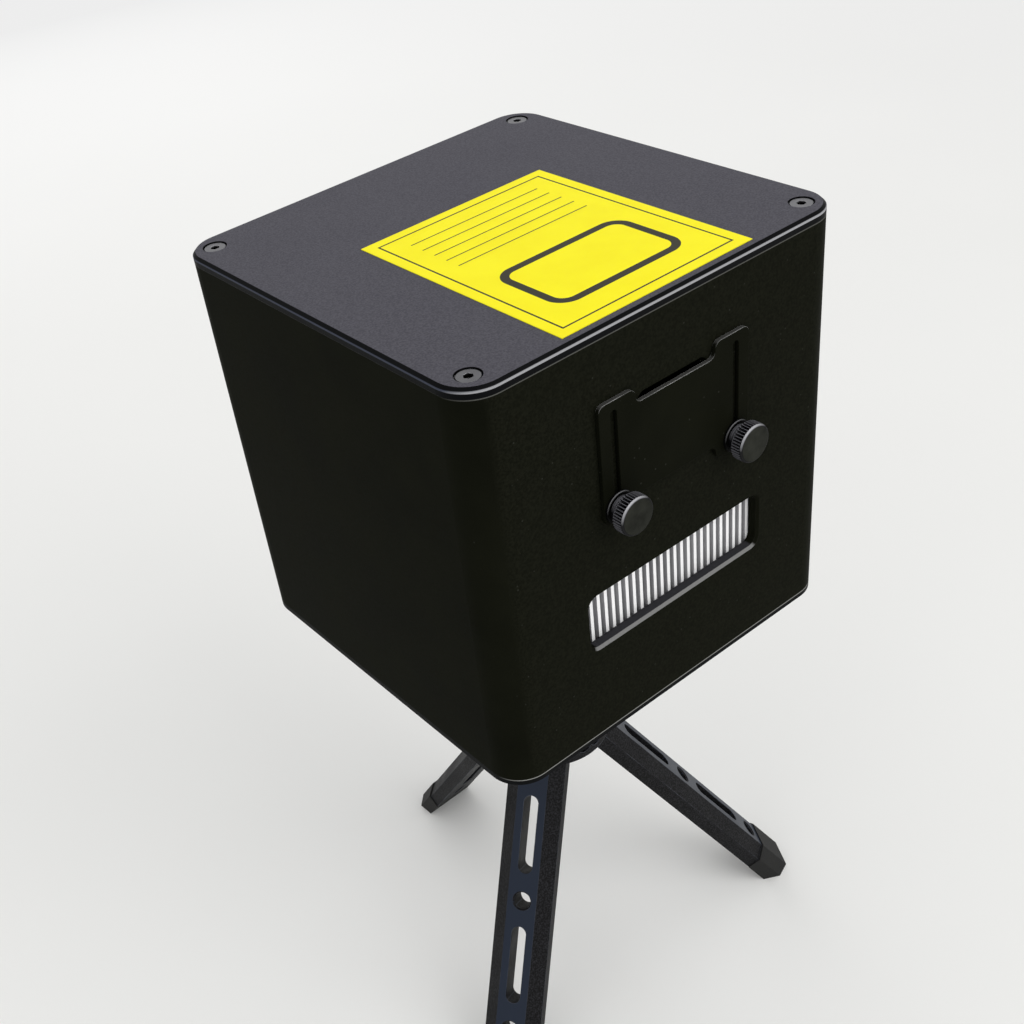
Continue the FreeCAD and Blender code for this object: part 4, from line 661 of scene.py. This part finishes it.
thumbscrewLook = {
    "headRadius": 5.95 * mm, "headLength": 4.0 * mm, "faceRing": 0.5, "rim": 0.85 * mm, "rimSteps": 5,
    "teeth": 40, "toothSides": 6, "gapSides": 4, "toothDepth": 0.5 * mm, "knurlSlack": 0.01 * mm,
    "backBevel": 0.35 * mm, "collarRadius": 3.8 * mm, "collarLength": 2.5 * mm,
    "flangeRadius": 5.0 * mm, "flangeLength": 0.8 * mm, "flangeBevel": 0.22 * mm,
    "shankRadius": 1.0 * mm, "shankBevel": 0.3 * mm, "smoothAngle": 24,
}


def addThumbscrew(side, look):
    node = "thumbscrew_" + side
    low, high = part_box(node)
    axis = ((low.x + high.x) / 2, (low.z + high.z) / 2)
    face, tip = low.y, high.y
    headEnd = face + look["headLength"]
    collarEnd = headEnd + look["collarLength"]
    flangeEnd = collarEnd + look["flangeLength"]
    radius, rim, ease = look["headRadius"], look["rim"], look["flangeBevel"]
    knurlStart, knurlEnd = face + rim, headEnd - look["backBevel"]
    rings = [(face, (radius - rim) * look["faceRing"])]
    for i in range(look["rimSteps"] + 1):
        bend = math.pi / 2 * i / look["rimSteps"]
        rings.append((knurlStart - rim * math.cos(bend), radius - rim + rim * math.sin(bend)))
    rings += [
        (knurlEnd, radius), (headEnd, radius - look["backBevel"]),
        (headEnd, look["collarRadius"]), (collarEnd, look["collarRadius"]),
        (collarEnd, look["flangeRadius"] - ease), (collarEnd + ease, look["flangeRadius"]),
        (flangeEnd, look["flangeRadius"]), (flangeEnd, look["shankRadius"]),
        (tip - look["shankBevel"], look["shankRadius"]), (tip, look["shankRadius"] - look["shankBevel"]),
    ]
    sides = look["teeth"] * look["toothSides"]
    piece = turnedAlongY("knurled_" + node, axis, sides, rings)
    step = 2 * math.pi / sides

    def inGap(point):
        if not knurlStart - look["knurlSlack"] < point.y < knurlEnd + look["knurlSlack"]:
            return False
        angle = math.atan2(point.z - axis[1], point.x - axis[0])
        return round(angle / step) % look["toothSides"] < look["gapSides"]

    pickPoints(piece, inGap)
    share = 1 - look["toothDepth"] / radius
    bpy.ops.transform.resize(value=(share, 1, share), center_override=(axis[0], face, axis[1]))
    faceOutwards()
    bpy.ops.object.mode_set(mode="OBJECT")
    bpy.ops.object.shade_smooth_by_angle(angle=math.radians(look["smoothAngle"]))
    putOn(piece, side + "_thumbscrew", "knob_black", (node,))


for side in ("left", "right"):
    addThumbscrew(side, thumbscrewLook)
print("thumbscrews knurled")


# Spring contacts in the two data sockets: eight bent strips, hung from the roof of the port

contactLook = {
    "count": 8, "pitch": 1.02 * mm, "width": 0.46 * mm, "thick": 0.25 * mm, "portHeight": 8.2 * mm,
    "path": [  # depth, drop
        (1.6 * mm, 0.0), (2.6 * mm, 0.9 * mm), (8.6 * mm, 3.0 * mm), (10.9 * mm, 3.1 * mm),
    ],
}


def addContacts(look):
    low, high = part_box("data_socket_in")
    middle, face, roof = (low.x + high.x) / 2, high.y, (low.z + high.z) / 2 + look["portHeight"] / 2
    first = middle - look["pitch"] * (look["count"] - 1) / 2
    depth, drop = look["path"][0]
    startFresh()
    bpy.ops.mesh.primitive_plane_add(size=1.0, location=(first, face - depth, roof - look["thick"] / 2),
                                     rotation=(-math.pi / 2, 0, 0))
    strips = bpy.context.object
    strips.name = strips.data.name = "data_contacts_in"
    strips.scale = (look["width"], look["thick"], 1.0)
    fixPlace()
    bpy.ops.object.mode_set(mode="EDIT")
    bpy.ops.mesh.select_all(action="SELECT")
    for nextDepth, nextDrop in look["path"][1:]:
        step = (0, depth - nextDepth, drop - nextDrop)
        bpy.ops.mesh.extrude_region_move(TRANSFORM_OT_translate={"value": step})
        depth, drop = nextDepth, nextDrop
    faceOutwards()
    for _ in range(look["count"] - 1):
        bpy.ops.mesh.duplicate_move(TRANSFORM_OT_translate={"value": (look["pitch"], 0, 0)})
    bpy.ops.object.mode_set(mode="OBJECT")
    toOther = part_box("data_socket_out")[0].x - low.x
    twin = copyMoved(strips, "data_contacts_out", (toOther, 0, 0))
    for piece in (strips, twin):
        putOn(piece, "case", "brass")


addContacts(contactLook)
print("socket contacts added")


# Fan screws: pan heads with a cross recess

fanScrewLook = {
    "sides": 48, "headRadius": 3.6 * mm, "headHeight": 2.4 * mm, "flank": 0.8 * mm, "shoulder": 1.7 * mm,
    "shoulderSteps": 6, "shankRadius": 2.0 * mm, "tipBevel": 0.5 * mm,
    "recessLength": 4.2 * mm, "recessWidth": 1.0 * mm, "recessDepth": 1.4 * mm, "smoothAngle": 35,
}


def cutBar(piece, centre, size):
    # takes a bar out of a piece
    startFresh()
    bpy.ops.mesh.primitive_cube_add(size=1.0, location=centre)
    bar = bpy.context.object
    bar.scale = size
    fixPlace()
    pickAlone(piece)
    cut = piece.modifiers.new("recess", "BOOLEAN")
    cut.operation, cut.solver, cut.object = "DIFFERENCE", "EXACT", bar
    bpy.ops.object.modifier_apply(modifier=cut.name)
    bpy.data.objects.remove(bar, do_unlink=True)


def addFanScrews(look):
    low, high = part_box("fan_screws")
    edge = look["headRadius"]
    axis = (low.x + edge, low.z + edge)
    underHead, crown = high.y - look["headHeight"], look["headHeight"] - look["flank"]
    rings = [(low.y, look["shankRadius"] - look["tipBevel"]), (low.y + look["tipBevel"], look["shankRadius"]),
             (underHead, look["shankRadius"]), (underHead, edge)]
    for i in range(look["shoulderSteps"] + 1):
        bend = math.pi / 2 * i / look["shoulderSteps"]
        rings.append((underHead + look["flank"] + crown * math.sin(bend),
                      edge - look["shoulder"] * (1 - math.cos(bend))))
    screw = turnedAlongY("fan_screw_1", axis, look["sides"], rings)
    length, width, depth = look["recessLength"], look["recessWidth"], 2 * look["recessDepth"]
    for size in ((length, depth, width), (width, depth, length)):
        cutBar(screw, (axis[0], high.y, axis[1]), size)
    bpy.ops.object.shade_smooth_by_angle(angle=math.radians(look["smoothAngle"]))
    acrossX, acrossZ = high.x - low.x - 2 * edge, high.z - low.z - 2 * edge
    shifts = ((acrossX, 0, 0), (0, 0, acrossZ), (acrossX, 0, acrossZ))
    copies = [copyMoved(screw, "fan_screw_" + str(i), shift) for i, shift in enumerate(shifts, 2)]
    for piece in (screw, *copies):
        putOn(piece, "case", "screw_steel", ("fan_screws",))


addFanScrews(fanScrewLook)
print("fan screws added")


# Floor, world and lamps

floorLook = {
    "size": 9.0, "pale": colour(236, 236, 234), "paler": colour(241, 241, 239), "cloudScale": 3.0,
    "specular": 0.1, "rough": 0.9, "fadeFrom": 0.7, "fadeTo": 1.7, "horizon": 0.85,
}


def seenRays(tree):
    # what the camera sees, also in metal and through glass
    rays = addNode(tree, "LightPath")
    seen = maths(tree, "MAXIMUM", rays.outputs["Is Camera Ray"], rays.outputs["Is Glossy Ray"])
    return maths(tree, "MAXIMUM", seen, rays.outputs["Is Transmission Ray"])


def addFloor(look):
    startFresh()
    bpy.ops.mesh.primitive_plane_add(size=look["size"], location=(0, 0, 0))
    floor = bpy.context.object
    floor.name = "floor"
    finish, tree, shader, place, _ = newFinish("floor_pale", look)
    tone = blendColours(tree, noise(tree, place, look["cloudScale"]), look["pale"], look["paler"])
    tree.links.new(tone, shader.inputs["Base Color"])
    shader.inputs["Roughness"].default_value = look["rough"]
    # far from the object the floor fades into the background
    away = addNode(tree, "VectorMath", {0: place}, operation="LENGTH").outputs["Value"]
    share = maths(tree, "MULTIPLY", spread(tree, away, look["fadeFrom"], look["fadeTo"]), seenRays(tree))
    glow = addNode(tree, "Emission", {"Strength": look["horizon"]}).outputs[0]
    mixed = addNode(tree, "MixShader", {0: share, 1: shader.outputs[0], 2: glow}).outputs[0]
    tree.links.new(mixed, tree.nodes["Material Output"].inputs["Surface"])
    floor.data.materials.append(finish)


addFloor(floorLook)

worldLook = {"colour": (1.0, 1.0, 1.0, 1.0), "strength": 0.76, "background": 0.85}


def addWorld(look):
    world = bpy.data.worlds.new("studio")
    scene.world = world
    world.use_nodes = True
    tree = world.node_tree
    shade = tree.nodes["Background"]
    shade.inputs["Color"].default_value = look["colour"]
    strength = spread(tree, seenRays(tree), 0.0, 1.0, look["strength"], look["background"])
    tree.links.new(strength, shade.inputs["Strength"])


addWorld(worldLook)

lampLook = [
    {"name": "front_wide", "place": (0.45, -1.5, 1.45), "aim": (0.0, 0.0, 0.2), "size": 1.6, "watts": 13.5},
    {"name": "front_left", "place": (-1.2, -0.3, 1.0), "aim": (0.0, 0.0, 0.18), "size": 1.0, "watts": 1.4},
    {"name": "rear_wide", "place": (0.5, 1.8, 0.65), "aim": (0.0, 0.0, 0.2), "size": 1.2, "watts": 8.0,
     "gloss": False},  # leaves no streak on the cover
]


def addLamp(look):
    lamp = bpy.data.lights.new(look["name"], "AREA")
    lamp.energy = look["watts"]
    lamp.shape = "SQUARE"
    lamp.size = look["size"]
    holder = bpy.data.objects.new(look["name"], lamp)
    scene.collection.objects.link(holder)
    holder.location = look["place"]
    holder.visible_glossy = look.get("gloss", True)
    aim = Vector(look["aim"]) - Vector(look["place"])
    holder.rotation_euler = aim.to_track_quat("-Z", "Y").to_euler()


for look in lampLook:
    addLamp(look)
print("floor and light set")
